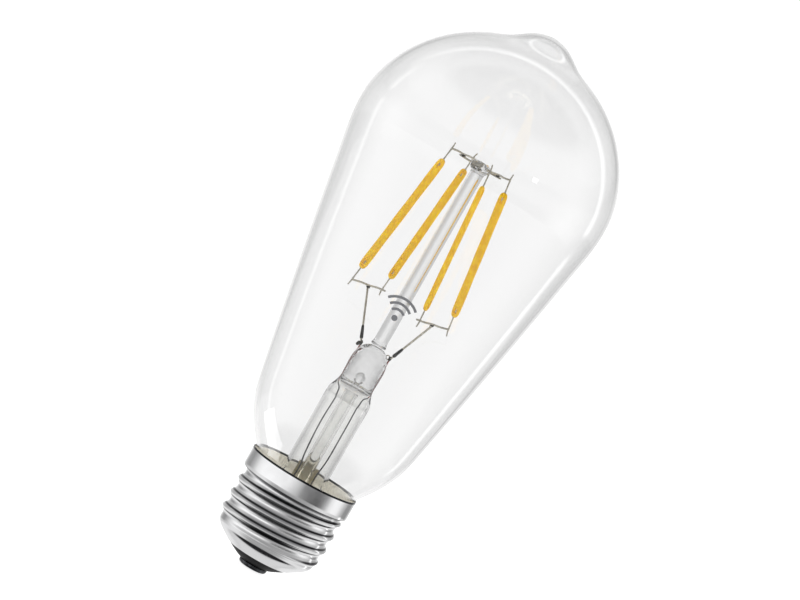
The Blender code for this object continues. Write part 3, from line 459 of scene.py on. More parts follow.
def glassEnvelope():
    outer = envelopeLine()
    top = outer[-1]
    inner = offsetLine(outer, bulb["wall"])
    inner[-1] = top - Vector((0, bulb["wall"]))
    inner[0] = Vector((outer[0].x - bulb["wall"], outer[0].y))
    lip = bulb["wall"] / 2
    edge = arc((outer[0].x - lip, outer[0].y + lip * 0.6), (lip, lip * 0.6), 180, 360, 8)
    outline = list(reversed(inner[1:])) + edge + outer[1:]
    piece = finished("glassEnvelope", spun(outline, bulb["sides"]), glass, 60)
    place(piece, "clear_glass", "glass_envelope")
    return piece, outer


envelope, outerLine = glassEnvelope()


def glassRadius(z):
    # outer radius of the envelope at a height
    for low, high in zip(outerLine, outerLine[1:]):
        if low.y <= z <= high.y:
            return low.x + (high.x - low.x) * (z - low.y) / (high.y - low.y)
    return 0.0


print("envelope made")


# ---- glass stem ----

stem = {
    "tubeRadius": 5.45, "flareRadius": 11.3, "wall": 0.8, "foot": 20.9, "flareTop": 25.6, "shoulder": 44.6,
    "pressHalfWidth": 4.2, "pressHalfThick": 2.0, "pressFoot": 49.2, "pressTop": 58.8, "cavityTop": 48.0,
    "sealX": 3.78, "sealBore": 0.26, "holeHeight": 50.7, "holeRadius": 1.3, "channelRadius": 0.9,
    "exhaustRadius": 1.6, "exhaustWall": 0.6, "exhaustTip": 20.6, "exhaustTop": 46.8,
    "pillarRadius": 1.65, "headRadius": 2.6, "pillarFoot": 59.0, "pillarTop": 107.5, "sides": 72,
    "rippleDepth": 0.1, "rippleFoot": 48.6,
}
xAxis, yAxis, zAxis = Vector((1, 0, 0)), Vector((0, 1, 0)), Vector((0, 0, 1))


def levelRing(halfX, halfY, z, power):
    # one station of the stem
    return oval(zAxis * z, xAxis, yAxis, halfX, halfY, stem["sides"], power)


def stemWall(inset):
    # the flare and tube, up to the shoulder
    r = stem["tubeRadius"]
    start = Vector((stem["flareRadius"], stem["foot"]))
    line = [start]
    line += cubic(start, Vector((r + 2.6, start.y + 0.3)), Vector((r, start.y + 1.6)),
                  Vector((r, stem["flareTop"])), 14)
    line += [Vector((r, stem["flareTop"] + step * 3.8)) for step in range(1, 6)]
    if inset:
        line = offsetLine(line, inset)
        line[0] = Vector((stem["flareRadius"] - 0.3, stem["foot"] - inset))
    return [levelRing(p.x, p.x, p.y, 2) for p in line]


def cutAway(piece, cutters):
    # takes the cutters' shapes out of a piece for good
    for cutter in cutters:
        modifier = piece.modifiers.new("cut", "BOOLEAN")
        modifier.operation = "DIFFERENCE"
        modifier.solver = "EXACT"
        modifier.object = cutter
    graph = bpy.context.evaluated_depsgraph_get()
    mesh = bpy.data.meshes.new_from_object(piece.evaluated_get(graph))
    old = piece.data
    piece.modifiers.clear()
    piece.data = mesh
    mesh.name = old.name
    bpy.data.meshes.remove(old)
    for cutter in cutters:
        bpy.data.objects.remove(cutter)


def rodCutter(start, end, radius, sides=24):
    along = (end - start).normalized()
    across = (end - start).orthogonal().normalized()
    bm = lofted([oval(point, across, along.cross(across), radius, radius, sides) for point in (start, end)])
    return finished("cutter", bm, None)


def stemFlareTube():
    w, t, top, cavity = stem["pressHalfWidth"], stem["pressHalfThick"], stem["pressTop"], stem["cavityTop"]
    r, shoulder = stem["tubeRadius"], stem["shoulder"]
    outer = stemWall(0)
    outer += [levelRing(*s) for s in curveThrough([
        (r, r, shoulder, 2),
        (r * 0.97, r * 0.86, shoulder + 1.4, 2),
        (w * 1.1, t * 1.5, cavity - 0.4, 2.2),
        (w, t * 0.98, stem["pressFoot"], 2.3),
        (w * 1.02, t * 0.9, stem["pressFoot"] + 2.2, 2.2),
        (w * 1.03, t, stem["pressFoot"] + 4.6, 2.2),
        (w * 0.97, t * 0.98, top - 3.2, 2.2),
        (w * 0.86, t * 0.92, top - 1.8, 2.1),
        (w * 0.66, t * 0.8, top - 0.75, 2.05),
        (w * 0.42, t * 0.6, top - 0.15, 2),
        (w * 0.22, t * 0.36, top, 2),
    ], 5)]
    inside = r - stem["wall"]
    inner = stemWall(stem["wall"])
    inner += [levelRing(*s) for s in curveThrough([
        (inside, inside, shoulder, 2),
        (inside * 0.96, inside * 0.8, shoulder + 1.2, 2),
        (w * 0.98, t * 1.15, cavity - 0.9, 2.6),
        (w * 0.93, t * 0.6, cavity, 3),
    ], 4)]
    piece = finished("stemFlareTube", lofted(list(reversed(inner)) + outer), stemGlass)
    cutters = []
    for sign in (-1, 1):
        x = sign * stem["sealX"]
        cutters.append(rodCutter(Vector((x, 0, cavity - 0.5)), Vector((x, 0, top + 1)), stem["sealBore"]))
    hole = zAxis * stem["holeHeight"]
    cutters.append(rodCutter(zAxis * (cavity - 0.5), hole, stem["channelRadius"]))
    bm = bmesh.new()
    bmesh.ops.create_uvsphere(bm, u_segments=32, v_segments=20, radius=1)
    bmesh.ops.scale(bm, vec=(stem["holeRadius"], t * 1.15, stem["holeRadius"] * 1.1), verts=bm.verts)
    bmesh.ops.translate(bm, vec=hole - yAxis * t, verts=bm.verts)
    cutters.append(finished("cutter", bm, None))
    for vert in piece.data.vertices:
        x, y, z = (c / mm for c in vert.co)
        above = z - stem["rippleFoot"]
        if above > 0:  # jaw marks of the hot press
            ripple = sin(x * 2.1 + z * 1.3) * sin(z * 1.9 - x * 0.7) * min(1, above / 2)
            vert.co.y += mm * stem["rippleDepth"] * ripple
    cutAway(piece, cutters)
    piece.data.set_sharp_from_angle(angle=radians(50))
    place(piece, "clear_glass", "stem_flare_tube")


def exhaustTube():
    r, tip, top = stem["exhaustRadius"], stem["exhaustTip"], stem["exhaustTop"]
    bore = r - stem["exhaustWall"]
    line = [Vector((0, tip))]
    line += cubic(line[0], Vector((r * 0.9, tip)), Vector((r, tip + 0.8)), Vector((r, tip + 2.2)), 10)
    line += [Vector((r, top - 0.15)), Vector((r - 0.15, top)), Vector((bore + 0.15, top)),
             Vector((bore, top - 0.15)), Vector((bore, tip + 3.2)), Vector((bore * 0.7, tip + 2.3)),
             Vector((0, tip + 2.0))]
    place(finished("exhaustTube", spun(line, 48), stemGlass), "clear_glass", "exhaust_tube")


def glassPillar():
    r, head, foot, top = stem["pillarRadius"], stem["headRadius"], stem["pillarFoot"], stem["pillarTop"]
    line = [Vector((0, foot)), Vector((r * 1.1, foot))]
    line += cubic(line[-1], Vector((r * 1.25, foot + 0.3)), Vector((r, foot + 0.6)),
                  Vector((r, foot + 1.6)), 8)
    line.append(Vector((r, top - 3.2)))
    line += cubic(line[-1], Vector((r, top - 2.2)), Vector((head, top - 2.4)), Vector((head, top - 1.3)), 10)
    line += cubic(line[-1], Vector((head, top - 0.3)), Vector((1.6, top)), Vector((0, top)), 10)
    piece = finished("glassPillar", spun(line, 48), stemGlass)
    low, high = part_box("upper_anchor_wire")
    level = Vector((high.x - low.x, low.y - high.y, 0)).normalized()
    middle = zAxis * bars["anchorHeight"]
    cutAway(piece, [rodCutter(middle - level * 3.2, middle + level * 3.2, bars["radius"] + 0.08, 16)])
    place(piece, "clear_glass", "glass_pillar")


# ---- filaments, bars and leads ----

bars = {
    "radius": 0.24, "upper": 106.8, "anchorDrop": 0.6, "overhang": 0.9, "gap": 0.08,
    "topLeg": 3.1, "footLeg": 3.2, "bow": {"left": 0.12, "right": -0.1},
}
filaments = {
    "length": 31.0, "width": 2.0, "thickness": 1.1, "drops": (0.0, 0.0, 0.6, 0.0),
    "footRadius": 13.0, "topRadius": 8.6, "footAngles": (199, 115, 293, 25), "topAngles": (197, 109, 288, 25),
    "faceAngles": (-22, -28, 60, -18), "carrier": (0.9, 0.4), "legRadius": 0.18, "ringSpacing": 0.26,
    "chipPitch": 1.08, "chipSwell": 0.03, "slump": 0.03, "eye": (0.42, 1.05), "eyeInset": 1.55,
    "endLength": 1.9,
}
run = filaments["footRadius"] - filaments["topRadius"]
filaments["rise"] = sqrt(filaments["length"]**2 - run**2)
bars["lower"] = bars["upper"] - bars["topLeg"] - filaments["rise"] - bars["footLeg"]
bars["anchorHeight"] = bars["upper"] - bars["anchorDrop"]


def around(radius, degrees, z):
    return Vector((radius * cos(radians(degrees)), radius * sin(radians(degrees)), z))


def filamentEnds(index):
    topZ = bars["upper"] - bars["topLeg"] - filaments["drops"][index]
    foot = around(filaments["footRadius"], filaments["footAngles"][index], topZ - filaments["rise"])
    return foot, around(filaments["topRadius"], filaments["topAngles"][index], topZ)


def filamentFrame(index):
    foot, top = filamentEnds(index)
    along = (top - foot).normalized()
    face = radians(filaments["faceAngles"][index])
    through = along.cross(Vector((cos(face), sin(face), 0))).normalized()
    return foot, top, along, through.cross(along).normalized(), through


def crossing(index, z):
    # where a filament's line passes a height
    foot, top = filamentEnds(index)
    return foot + (top - foot) * ((z - foot.z) / (top.z - foot.z))


def filamentCoat(index):
    # the phosphor: round ends, a slight swell over every chip, and an eye over each terminal
    foot, top, along, across, through = filamentFrame(index)
    w, t = filaments["width"] / 2, filaments["thickness"] / 2
    length = filaments["length"]
    count = round(length / filaments["ringSpacing"])
    rings = []
    for step in range(count + 1):
        at = length * step / count
        near = min(at, length - at)
        end = sqrt(max(0.0, 1 - max(0.0, 1 - near / filaments["endLength"])**2.4))
        swell = 1 + filaments["chipSwell"] * cos(2 * pi * at / filaments["chipPitch"])
        slump = 1 + filaments["slump"] * sin(at * 0.55 + index * 1.7)
        halfWidth = w * (0.36 + 0.64 * end) * slump
        halfThick = t * (0.42 + 0.58 * end) * swell
        rings.append(oval(foot + along * at, across, through, halfWidth, halfThick, 28, 2.3))
    piece = finished(f"filamentPhosphor{index + 1}", lofted(rings), phosphor, 70)
    cutters = []
    wide, tall = filaments["eye"]
    turn = Matrix((across, through, along)).transposed()
    for end, inward in ((foot, along), (top, -along)):
        for face in (-1, 1):
            centre = end + inward * filaments["eyeInset"] + through * (face * t * 1.02)
            bm = bmesh.new()
            bmesh.ops.create_uvsphere(bm, u_segments=20, v_segments=12, radius=1)
            bmesh.ops.scale(bm, vec=(wide, t * 0.75, tall), verts=bm.verts)
            bmesh.ops.rotate(bm, cent=(0, 0, 0), matrix=turn, verts=bm.verts)
            bmesh.ops.translate(bm, vec=centre, verts=bm.verts)
            cutters.append(finished("cutter", bm, None))
    cutAway(piece, cutters)
    piece.data.set_sharp_from_angle(angle=radians(50))
    filament = f"filament_{index + 1}"
    place(piece, "phosphor_silicone", f"{filament}_phosphor", f"{filament}_carrier")


def filamentTerminal(index, name, end, outward, barZ):
    # a stamped tab inside the eye that narrows to the leg, and a snipped, bent tail past the bar
    across, through = filamentFrame(index)[3:]
    reach = abs((barZ - end.z) / outward.z)
    lean = across * (0.35 if index % 2 else -0.3) + through * 0.2
    leg = filaments["legRadius"]
    wide, thick = filaments["carrier"][0] / 2, filaments["carrier"][1] / 2
    listed = [(-2.6, wide * 0.75, thick), (-2.4, wide, thick), (-0.5, wide, thick),
              (-0.1, wide * 0.6, thick * 0.8), (0.35, leg, leg), (reach * 0.6, leg, leg),
              (reach, leg * 1.25, leg * 0.8), (reach + 0.5, leg, leg)]
    rings = []
    for at, halfWidth, halfThick in listed:
        rings.append(oval(end + outward * at, across, through, halfWidth, halfThick, 12))
    for at in (1.0, 1.5, 1.55):
        middle = end + outward * (reach + at) + lean * (at - 0.5) * 0.5
        size = leg * (0.9 if at < 1.55 else 0.5)
        rings.append(oval(middle, across, through, size, size, 12))
    piece = finished(f"filamentTerminal{index + 1}{name.capitalize()}", lofted(rings), wireNickel)
    place(piece, "nickel_wire", f"filament_{index + 1}_{name}_terminal")


def barMiddle(first, second, z):
    # middle of the bar that joins two filaments, on the side of their legs that faces the axis
    middle = (crossing(first, z) + crossing(second, z)) / 2
    step = bars["radius"] + filaments["legRadius"] + bars["gap"]
    return middle - Vector((middle.x, middle.y, 0)).normalized() * step


def nugget(name, centre, along, size, slot):
    # a resistance weld: a squeezed bead of metal, dark with weld scale
    bm = bmesh.new()
    bmesh.ops.create_icosphere(bm, subdivisions=3, radius=1)
    for vert in bm.verts:
        vert.co *= 1 + 0.12 * sin(vert.co.x * 5 + centre.x) * cos(vert.co.y * 4 + vert.co.z * 3)
    bmesh.ops.scale(bm, vec=size, verts=bm.verts)
    turn = along.to_track_quat("X", "Z").to_matrix()
    bmesh.ops.rotate(bm, cent=(0, 0, 0), matrix=turn, verts=bm.verts)
    bmesh.ops.translate(bm, vec=centre, verts=bm.verts)
    place(finished(name, bm, weldMetal), slot)


def crossBars():
    # each bar is slightly bowed and a little thicker where it is welded
    r = bars["radius"]
    for level in ("lower", "upper"):
        z = bars[level]
        for side, first, second in (("left", 0, 1), ("right", 2, 3)):
            middle = barMiddle(first, second, z)
            span = crossing(second, z) - crossing(first, z)
            along = span.normalized()
            reach = span.length / 2 + bars["overhang"]
            bow = zAxis * bars["bow"][side]
            points = smoothRoute([middle - along * reach, middle - along * reach * 0.5 + bow, middle,
                                  middle + along * reach * 0.5 + bow, middle + along * reach], 0.4)
            bm = wireMesh(points, [(0, r * 0.8), (0.03, r), (0.46, r), (0.5, r * 1.1), (0.54, r), (0.97, r),
                                   (1, r * 0.8)])
            name = f"{level}Bar{side.capitalize()}"
            place(finished(name, bm, wireNickel), "nickel_wire", f"{level}_bar_{side}")
            under = middle - zAxis * r * 1.2
            nugget(f"{level}Weld{side.capitalize()}", under, along, (0.85, 0.36, 0.42), "nickel_wire")


def anchorWire():
    # it runs through the pillar's head and ends under the two upper bars
    below = zAxis * (2 * bars["radius"] + bars["gap"])
    left = barMiddle(0, 1, bars["upper"]) - below
    right = barMiddle(2, 3, bars["upper"]) - below
    along = Vector((right.x - left.x, right.y - left.y, 0)).normalized()
    middle = zAxis * bars["anchorHeight"]
    head = along * (stem["headRadius"] + 0.5)
    points = [left - along, left, middle - head, middle, middle + head, right, right + along]
    r = bars["radius"]
    bm = wireMesh(smoothRoute(points, 0.4), [(0, r * 0.7), (0.04, r), (0.96, r), (1, r * 0.7)])
    place(finished("upperAnchorWire", bm, wireNickel), "nickel_wire", "upper_anchor_wire")


leads = {
    "radius": 0.25, "bend": 0.9, "sleeve": 0.42, "sleeveShares": (0.33, 0.09), "loop": 0.13,
    "seal": 0.18, "outer": 0.17, "sealTop": 57.5, "sealFoot": 47.4,
}


def innerLead(side, sign):
    # the support wire from its bar down to the press, with the iron sleeve crimped on its lower end
    first, second = (0, 1) if sign < 0 else (2, 3)
    z = bars["lower"]
    along = (crossing(second, z) - crossing(first, z)).normalized()
    middle = barMiddle(first, second, z) - zAxis * (bars["radius"] + leads["radius"] + bars["gap"])
    foot = Vector((sign * stem["sealX"], 0, leads["sealTop"] + bars["gap"]))
    sleeveTop, sleeveFoot = (foot + (middle - foot) * share for share in leads["sleeveShares"])
    bend = middle + (sleeveTop - middle).normalized() * leads["bend"]
    r = leads["radius"]
    points = smoothRoute([middle - along * sign * 0.9, middle, bend], 0.3)
    points += evenly([bend, sleeveTop, sleeveFoot, foot], 0.4)[1:]
    bm = wireMesh(points, [(0, r * 0.75), (0.05, r * 1.15), (0.12, r), (0.9, r), (1, r * 0.8)], 16)
    place(finished(f"innerLead{side.capitalize()}", bm, wireNickel), "nickel_wire", f"inner_lead_{side}")
    down = (sleeveFoot - sleeveTop).normalized()
    across = down.orthogonal().normalized()
    size, length = leads["sleeve"], (sleeveFoot - sleeveTop).length
    rings = []
    for share, radius in ((0, r * 1.02), (0.1, size * 0.75), (0.3, size * 0.86), (0.6, size * 0.92),
                          (0.85, size), (0.96, size * 0.92), (1, r)):
        rings.append(oval(sleeveTop + down * length * share, across, down.cross(across), radius, radius, 20))
    piece = finished(f"leadSleeve{side.capitalize()}", lofted(rings), darkIron)
    place(piece, "dark_iron", f"lead_sleeve_{side}")
    nugget(f"sealWeld{side.capitalize()}", foot + zAxis * 0.2, zAxis, (0.6, 0.36, 0.36), "dark_iron")
    if sign < 0:
        bead = foot + Vector((-0.55, -0.1, -0.15))
        nugget("leadBeadLeft", bead, zAxis + xAxis * 0.4, (0.62, 0.42, 0.42), "dark_iron")
        return
    # a clipped end of the lead, curled beside the press
    loop = [foot + Vector((-0.1, 0, -0.1))]
    for step in range(-1, 12):
        angle = step * pi / 6
        loop.append(foot + Vector((-0.62 + 0.42 * cos(angle), 0.1 * cos(angle), 0.3 + 0.5 * sin(angle))))
    bm = wireMesh(smoothRoute(loop, 0.2), [(0, leads["loop"]), (1, leads["loop"])], 8)
    place(finished("leadLoopRight", bm, wireNickel), "nickel_wire")


def sealWire(side, sign):
    # the copper-clad wire that the press seals in
    x = sign * stem["sealX"]
    points = smoothRoute([(x, 0, leads["sealTop"]), (x, 0, 52.0), (x, 0, leads["sealFoot"])], 0.5)
    bm = wireMesh(points, [(0, leads["seal"]), (1, leads["seal"])])
    place(finished(f"sealWire{side.capitalize()}", bm, dumet), "copper_wire", f"seal_wire_{side}")


def outerLead(side, sign):
    # thin soft wire that was bent by hand as it was threaded down the tube
    low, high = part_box(f"lead_terminal_{side}")
    start = Vector((sign * stem["sealX"], 0, leads["sealFoot"] - bars["gap"]))
    end = Vector(((low.x + high.x) / 2 / mm, (low.y + high.y) / 2 / mm, high.z / mm + bars["gap"]))
    drop = start.z - end.z
    wander = ((2.74, -0.6, 0.09), (2.84, -0.88, 0.36), (2.42, -1.3, 0.62), (1.9, -1.49, 0.78))
    if sign > 0:
        wander = ((2.93, -0.51, 0.06), (2.88, -0.88, 0.35), (2.84, -1.21, 0.6), (2.33, -1.49, 0.8))
    points = [start, *[Vector((sign * x, y, start.z - drop * share)) for x, y, share in wander], end]
    bm = wireMesh(smoothRoute(points, 0.5), [(0, leads["outer"]), (1, leads["outer"])], 10)
    piece = finished(f"outerLead{side.capitalize()}", bm, tinnedWire)
    place(piece, "outer_wire", f"outer_lead_{side}")


stemFlareTube()
exhaustTube()
glassPillar()
print("stem made")
for index in range(4):
    filamentCoat(index)
    foot, top, along = filamentFrame(index)[:3]
    filamentTerminal(index, "foot", foot, -along, bars["lower"])
    filamentTerminal(index, "top", top, along, bars["upper"])
crossBars()
anchorWire()
for side, sign in (("left", -1), ("right", 1)):
    innerLead(side, sign)
    sealWire(side, sign)
    outerLead(side, sign)
print("filaments and leads made")


# ---- screw cap ----

cap = {
    "pitch": 25.4 / 7, "major": 13.15, "minor": 12.25, "crest": 18.9, "threadFoot": 7.2, "threadEnd": 19.6,
    "sheet": 0.3, "skirt": 13.5, "skirtFoot": 20.5, "rim": 25.2, "hemRadius": 8.1, "hemHeight": 3.3,
    "contact": 3.5, "contactHeight": 1.0, "shank": 1.5, "shankTop": 6.3, "insulatorTop": 5.8, "gap": 0.2,
    "crestPower": 1.8, "sides": 240, "rows": 165,
}


def threadLift(z, angle):
    # how far the rolled thread stands out
    phase = (z - cap["crest"]) / cap["pitch"] - angle / (2 * pi)
    start = min(max((z - cap["threadFoot"]) / (cap["pitch"] / 2), 0), 1)
    stop = min(max((cap["threadEnd"] - z) / (cap["pitch"] / 4), 0), 1)
    fade = start * start * (3 - 2 * start) * stop * stop * (3 - 2 * stop)
    return (cap["major"] - cap["minor"]) * (0.5 + 0.5 * cos(2 * pi * phase))**cap["crestPower"] * fade


def capShell():
    hem = Vector((cap["hemRadius"], cap["hemHeight"]))
    foot = Vector((cap["minor"], cap["threadFoot"]))
    line = [hem]
    line += cubic(hem, hem + Vector((1.8, 1.3)), foot - Vector((0, 1.5)), foot, 16)
    rise = cap["threadEnd"] - cap["threadFoot"]
    line += [foot + Vector((0, rise * row / cap["rows"])) for row in range(1, cap["rows"] + 1)]
    skirt = Vector((cap["skirt"], cap["skirtFoot"]))
    line += cubic(line[-1], line[-1] + Vector((0, 0.3)), skirt - Vector((0, 0.25)), skirt, 14)
    line += [Vector((cap["skirt"], z)) for z in (21.5, 22.7, 23.9, 24.6, 24.9, 25.0, cap["rim"] - 0.1)]
    inner = offsetLine(line, cap["sheet"])
    inner[-1] = Vector((cap["skirt"] - cap["sheet"], cap["rim"] - 0.1))
    lip = arc((cap["skirt"] - cap["sheet"] / 2, cap["rim"] - 0.1), (cap["sheet"] / 2, 0.1), 0, 180, 6)[1:-1]
    bm = spun(line + lip + list(reversed(inner)), cap["sides"], closed=True)
    for vert in bm.verts:
        x, y, z = vert.co
        angle = atan2(y, x)
        lift = threadLift(z, angle)
        vert.co += Vector((cos(angle), sin(angle), 0)) * lift
    piece = finished("capShell", bm, nickel, 55)
    place(piece, "nickel_plate", "cap_shell")


def capInsulator():
    foot = cap["contactHeight"] + cap["gap"]
    bore = cap["shank"] + cap["gap"]
    lip = cap["hemRadius"] - cap["gap"]
    hem, edge = cap["hemHeight"], cap["contact"]
    line = [Vector((bore, foot + 0.1)), Vector((bore + 0.1, foot)), Vector((edge + 0.2, foot))]
    line += cubic(line[-1], Vector((edge + 0.9, foot + 0.1)), Vector((lip - 1.5, hem - 0.9)),
                  Vector((lip - 0.25, hem - 0.15)), 12)
    line += cubic(line[-1], Vector((lip, hem)), Vector((lip, hem)), Vector((lip, hem + 0.35)), 4)
    line += [Vector((lip + 0.9, hem + 1.2)), Vector((lip + 0.9, cap["insulatorTop"])),
             Vector((bore, cap["insulatorTop"]))]
    piece = finished("capInsulator", spun(line, 96, closed=True), vitrite(), 50)
    place(piece, "black_insulator", "cap_insulator")


def centreContact():
    r, top = cap["contact"], cap["contactHeight"]
    line = [Vector((0, 0)), Vector((r - 0.75, 0))]
    line += cubic(line[-1], Vector((r - 0.3, 0)), Vector((r, 0.3)), Vector((r, top * 0.7)), 10)
    line += [Vector((r, top - 0.05)), Vector((r - 0.05, top)), Vector((cap["shank"], top)),
             Vector((cap["shank"], cap["shankTop"] - 0.2)), Vector((cap["shank"] - 0.2, cap["shankTop"])),
             Vector((0, cap["shankTop"]))]
    place(finished("centreContact", spun(line, 72), shadedContactMetal), "contact_metal", "centre_contact")


capShell()
capInsulator()
centreContact()
print("cap made")


# ---- pictogram printed on the glass ----

mark = {
    "height": 68.6, "lift": 0.015, "thickness": 0.02, "dot": 0.7, "arcs": (2.1, 3.5, 4.9),
    "stroke": 0.6, "spread": 92,
}


def wirelessMark():
    # a plain wireless sign: a dot and three arcs, fired onto the glass in grey enamel
    bm = bmesh.new()
    bmesh.ops.create_circle(bm, cap_ends=True, segments=32, radius=mark["dot"])
    for radius in mark["arcs"]:
        half = mark["stroke"] / 2
        a = bm.verts.new((radius - half, 0, 0))
        b = bm.verts.new((radius + half, 0, 0))
        edge = bm.edges.new((a, b))
        start = radians(90 - mark["spread"] / 2)
        bmesh.ops.rotate(bm, cent=(0, 0, 0), matrix=Matrix.Rotation(start, 3, "Z"), verts=[a, b])
        bmesh.ops.spin(bm, geom=[a, b, edge], cent=(0, 0, 0), axis=(0, 0, 1),
                       angle=radians(mark["spread"]), steps=28, use_merge=False)
    bmesh.ops.recalc_face_normals(bm, faces=bm.faces)
    skin = bmesh.ops.extrude_face_region(bm, geom=list(bm.faces))["geom"]
    outside = [g for g in skin if isinstance(g, bmesh.types.BMVert)]
    bmesh.ops.translate(bm, vec=(0, 0, mark["thickness"]), verts=outside)
    for vert in bm.verts:
        x, up, out = vert.co
        z = mark["height"] + up
        radius = glassRadius(z) + mark["lift"] + out
        vert.co = Vector((x, -sqrt(radius**2 - x**2), z))
    bmesh.ops.recalc_face_normals(bm, faces=bm.faces)
    ink = moulded("firedGreyEnamel", "#6E6F72", 0.5, 0.1, 0.01, "#626366")
    place(finished("wirelessMark", bm, ink), "outer_wire")


wirelessMark()


# ---- carried-over parts inside the cap ----

# the moulded look of each plastic, board or cement part
inside = {
    # the last number of the cement and the cup is their glow, painted light for the light the glass brings into
    # the cap
    "capping_cement": ("cappingCement", "#D6D2C6", 0.85, 0.4, 0.1, "#BDB9AC", 0.7),
    "insulating_cup": ("creamPolyester", "#EDE7D6", 0.45, 0.6, 0.02, "#E6DFCE", 1.0),
    "driver_board": ("greenBoardLaminate", "#2E7A46", 0.4, 0.5, 0.02, "#1F5C33"),
    "radio_module_board": ("blueBoardLaminate", "#1F3E6E", 0.4, 0.5, 0.02, "#162C52"),
    "module_header": ("blackNylon", "#1C1C1E", 0.5, 0.4, 0.03, "#121213"),
    "bridge_rectifier": ("mouldedEpoxy", "#232325", 0.6, 0.2, 0.02, "#161617"),
    "driver_chip": ("mouldedEpoxyChip", "#1E1E20", 0.6, 0.2, 0.02, "#131314"),
    "bulk_capacitor": ("shrunkSleeve", "#20304E", 0.35, 1.2, 0.03, "#182540"),
    "film_capacitor": ("dippedFilmCapacitor", "#C98A1B", 0.35, 1.0, 0.05, "#A8700F"),
    "fusible_resistor": ("resistorEnamel", "#5C8FA3", 0.45, 0.5, 0.02, "#4A7688"),
    "inductor_core": ("sinteredFerrite", "#2A2A2C", 0.75, 0.15, 0.03, "#1A1A1C"),
    "antenna_board": ("creamBoardLaminate", "#D9CFAE", 0.45, 0.5, 0.02, "#CBBF9B"),
    "live_wire": ("redSilicone", "#A81E1E", 0.45, 0.5, 0.01, "#8C1616"),
    "live_link": ("redSiliconeLink", "#A81E1E", 0.45, 0.5, 0.01, "#8C1616"),
    "neutral_wire": ("blueSilicone", "#1E3FA8", 0.45, 0.5, 0.01, "#16308C"),
}
inside = {name: moulded(*look) for name, look in inside.items()}
inside |= {
    "radio_shield_can": metalWire("tinnedSteelSheet", "#C9CBCC", "#A3A6A8", 0.3, 1.5),
    "inductor_winding": copper,
    "antenna_track": copper,
    "antenna_feed": copper,
    "lead_terminal_left": tin,
    "lead_terminal_right": tin,
    "neutral_solder": tin,
}
for name, material in inside.items():
    if name in nodes:
        nodes[name].data.materials.clear()
        nodes[name].data.materials.append(material)
print("inner parts dressed")


# ---- studio ----

studio = {
    "elevation": 4.5, "lean": 29.8, "distance": 0.9, "lens": 176.9, "centre": Vector((0, 0, 0.07)),
    "shiftRight": 0.00046, "shiftDown": 0.00103, "brightness": 1.4, "fill": 3.5, "background": 1.05,
    "lampDistance": 1.2, "floorSize": 3000, "floorDrop": 0.3,
}

# brightness of the walls by compass angle, from (degrees from the camera's side, value)
panels = {}
panels["level"] = (
    (-180, 1.0), (-160, 0.95), (-147, 0.45), (-128, 0.34), (-112, 0.6), (-95, 1.1), (-80, 1.3), (-22, 1.25),
    (-8, 1.0), (4, 0.65), (14, 0.3), (30, 0.13), (50, 0.12), (62, 0.22), (70, 0.5), (78, 1.05), (90, 1.3),
    (104, 1.15), (118, 0.65), (130, 0.34), (147, 0.34), (160, 0.9), (180, 1.0),
)
panels["lower"] = (
    (-180, 1.0), (-158, 0.95), (-145, 0.74), (-110, 0.74), (-90, 1.0), (0, 0.95), (75, 0.95), (95, 0.78),
    (145, 0.7), (160, 0.93), (180, 1.0),
)
panels["upper"] = (
    (-180, 1.05), (-173, 1.03), (-163, 0.82), (-147, 0.66), (-128, 0.62), (-112, 0.78), (-95, 1.0),
    (-65, 0.65), (0, 0.5), (65, 0.65), (95, 1.0), (112, 0.82), (130, 0.62), (147, 0.62), (163, 0.78),
    (173, 1.03), (180, 1.05),
)

# where the walls change, by a direction's z; front, patchBack and the two strip fades go by its y
fades = {
    "dim": (0.05, 0.17), "ceiling": (0.45, 0.85), "flagTop": (-0.082, -0.1), "flagFoot": (-0.19, -0.21),
    "lowerFoot": (-0.33, -0.38), "ground": (-0.62, -0.8), "front": (-0.3, -0.8), "frontTop": (-0.19, -0.23),
    "patchTop": (-0.62, -0.76), "patchBack": (0.12, 0.3),
    "stripNear": (0.515, 0.54), "stripFar": (0.66, 0.57),
}


def grey(value):
    return (value, value, value, 1)


greys = {
    "foot": grey(0.97 / studio["brightness"]), "front": grey(0.32), "patch": grey(0.6), "dim": grey(0.1),
    "ground": (0.015, 0.015, 0.016, 1), "ceiling": (0.17, 0.17, 0.175, 1),
}


def camera():
    up = radians(studio["elevation"])
    back = Vector((0, -cos(up), sin(up)))
    turn = back.to_track_quat("Z", "Y").to_matrix() @ Matrix.Rotation(radians(studio["lean"]), 3, "Z")
    right, top = turn.col[0], turn.col[1]
    target = studio["centre"] - right * studio["shiftRight"] + top * studio["shiftDown"]
    data = bpy.data.cameras.new("camera")
    data.lens = studio["lens"]
    data.sensor_width = 36
    data.clip_start = 0.01
    viewer = bpy.data.objects.new("camera", data)
    viewer.matrix_world = Matrix.Translation(target + back * studio["distance"]) @ turn.to_4x4()
    bpy.context.scene.collection.objects.link(viewer)
    bpy.context.scene.camera = viewer


def angleShare(tree, side, ahead):
    # 0 to 1 round the circle
    turn = add(tree, "ShaderNodeMath", {"operation": "ARCTAN2"}, {0: side, 1: ahead})
    return ranged(tree, turn.outputs[0], -pi, pi)


def compass(tree, share, name):
    listed = [((angle + 180) / 360, grey(value / studio["brightness"])) for angle, value in panels[name]]
    return ramp(tree, share, listed)


def between(tree, value, fade):
    # 0 to 1 as a value passes from the fade's first number to its second
    low, high = fades[fade]
    if low > high:
        return ranged(tree, value, high, low, 1.0, 0.0, "SMOOTHSTEP")
    return ranged(tree, value, low, high, 0.0, 1.0, "SMOOTHSTEP")


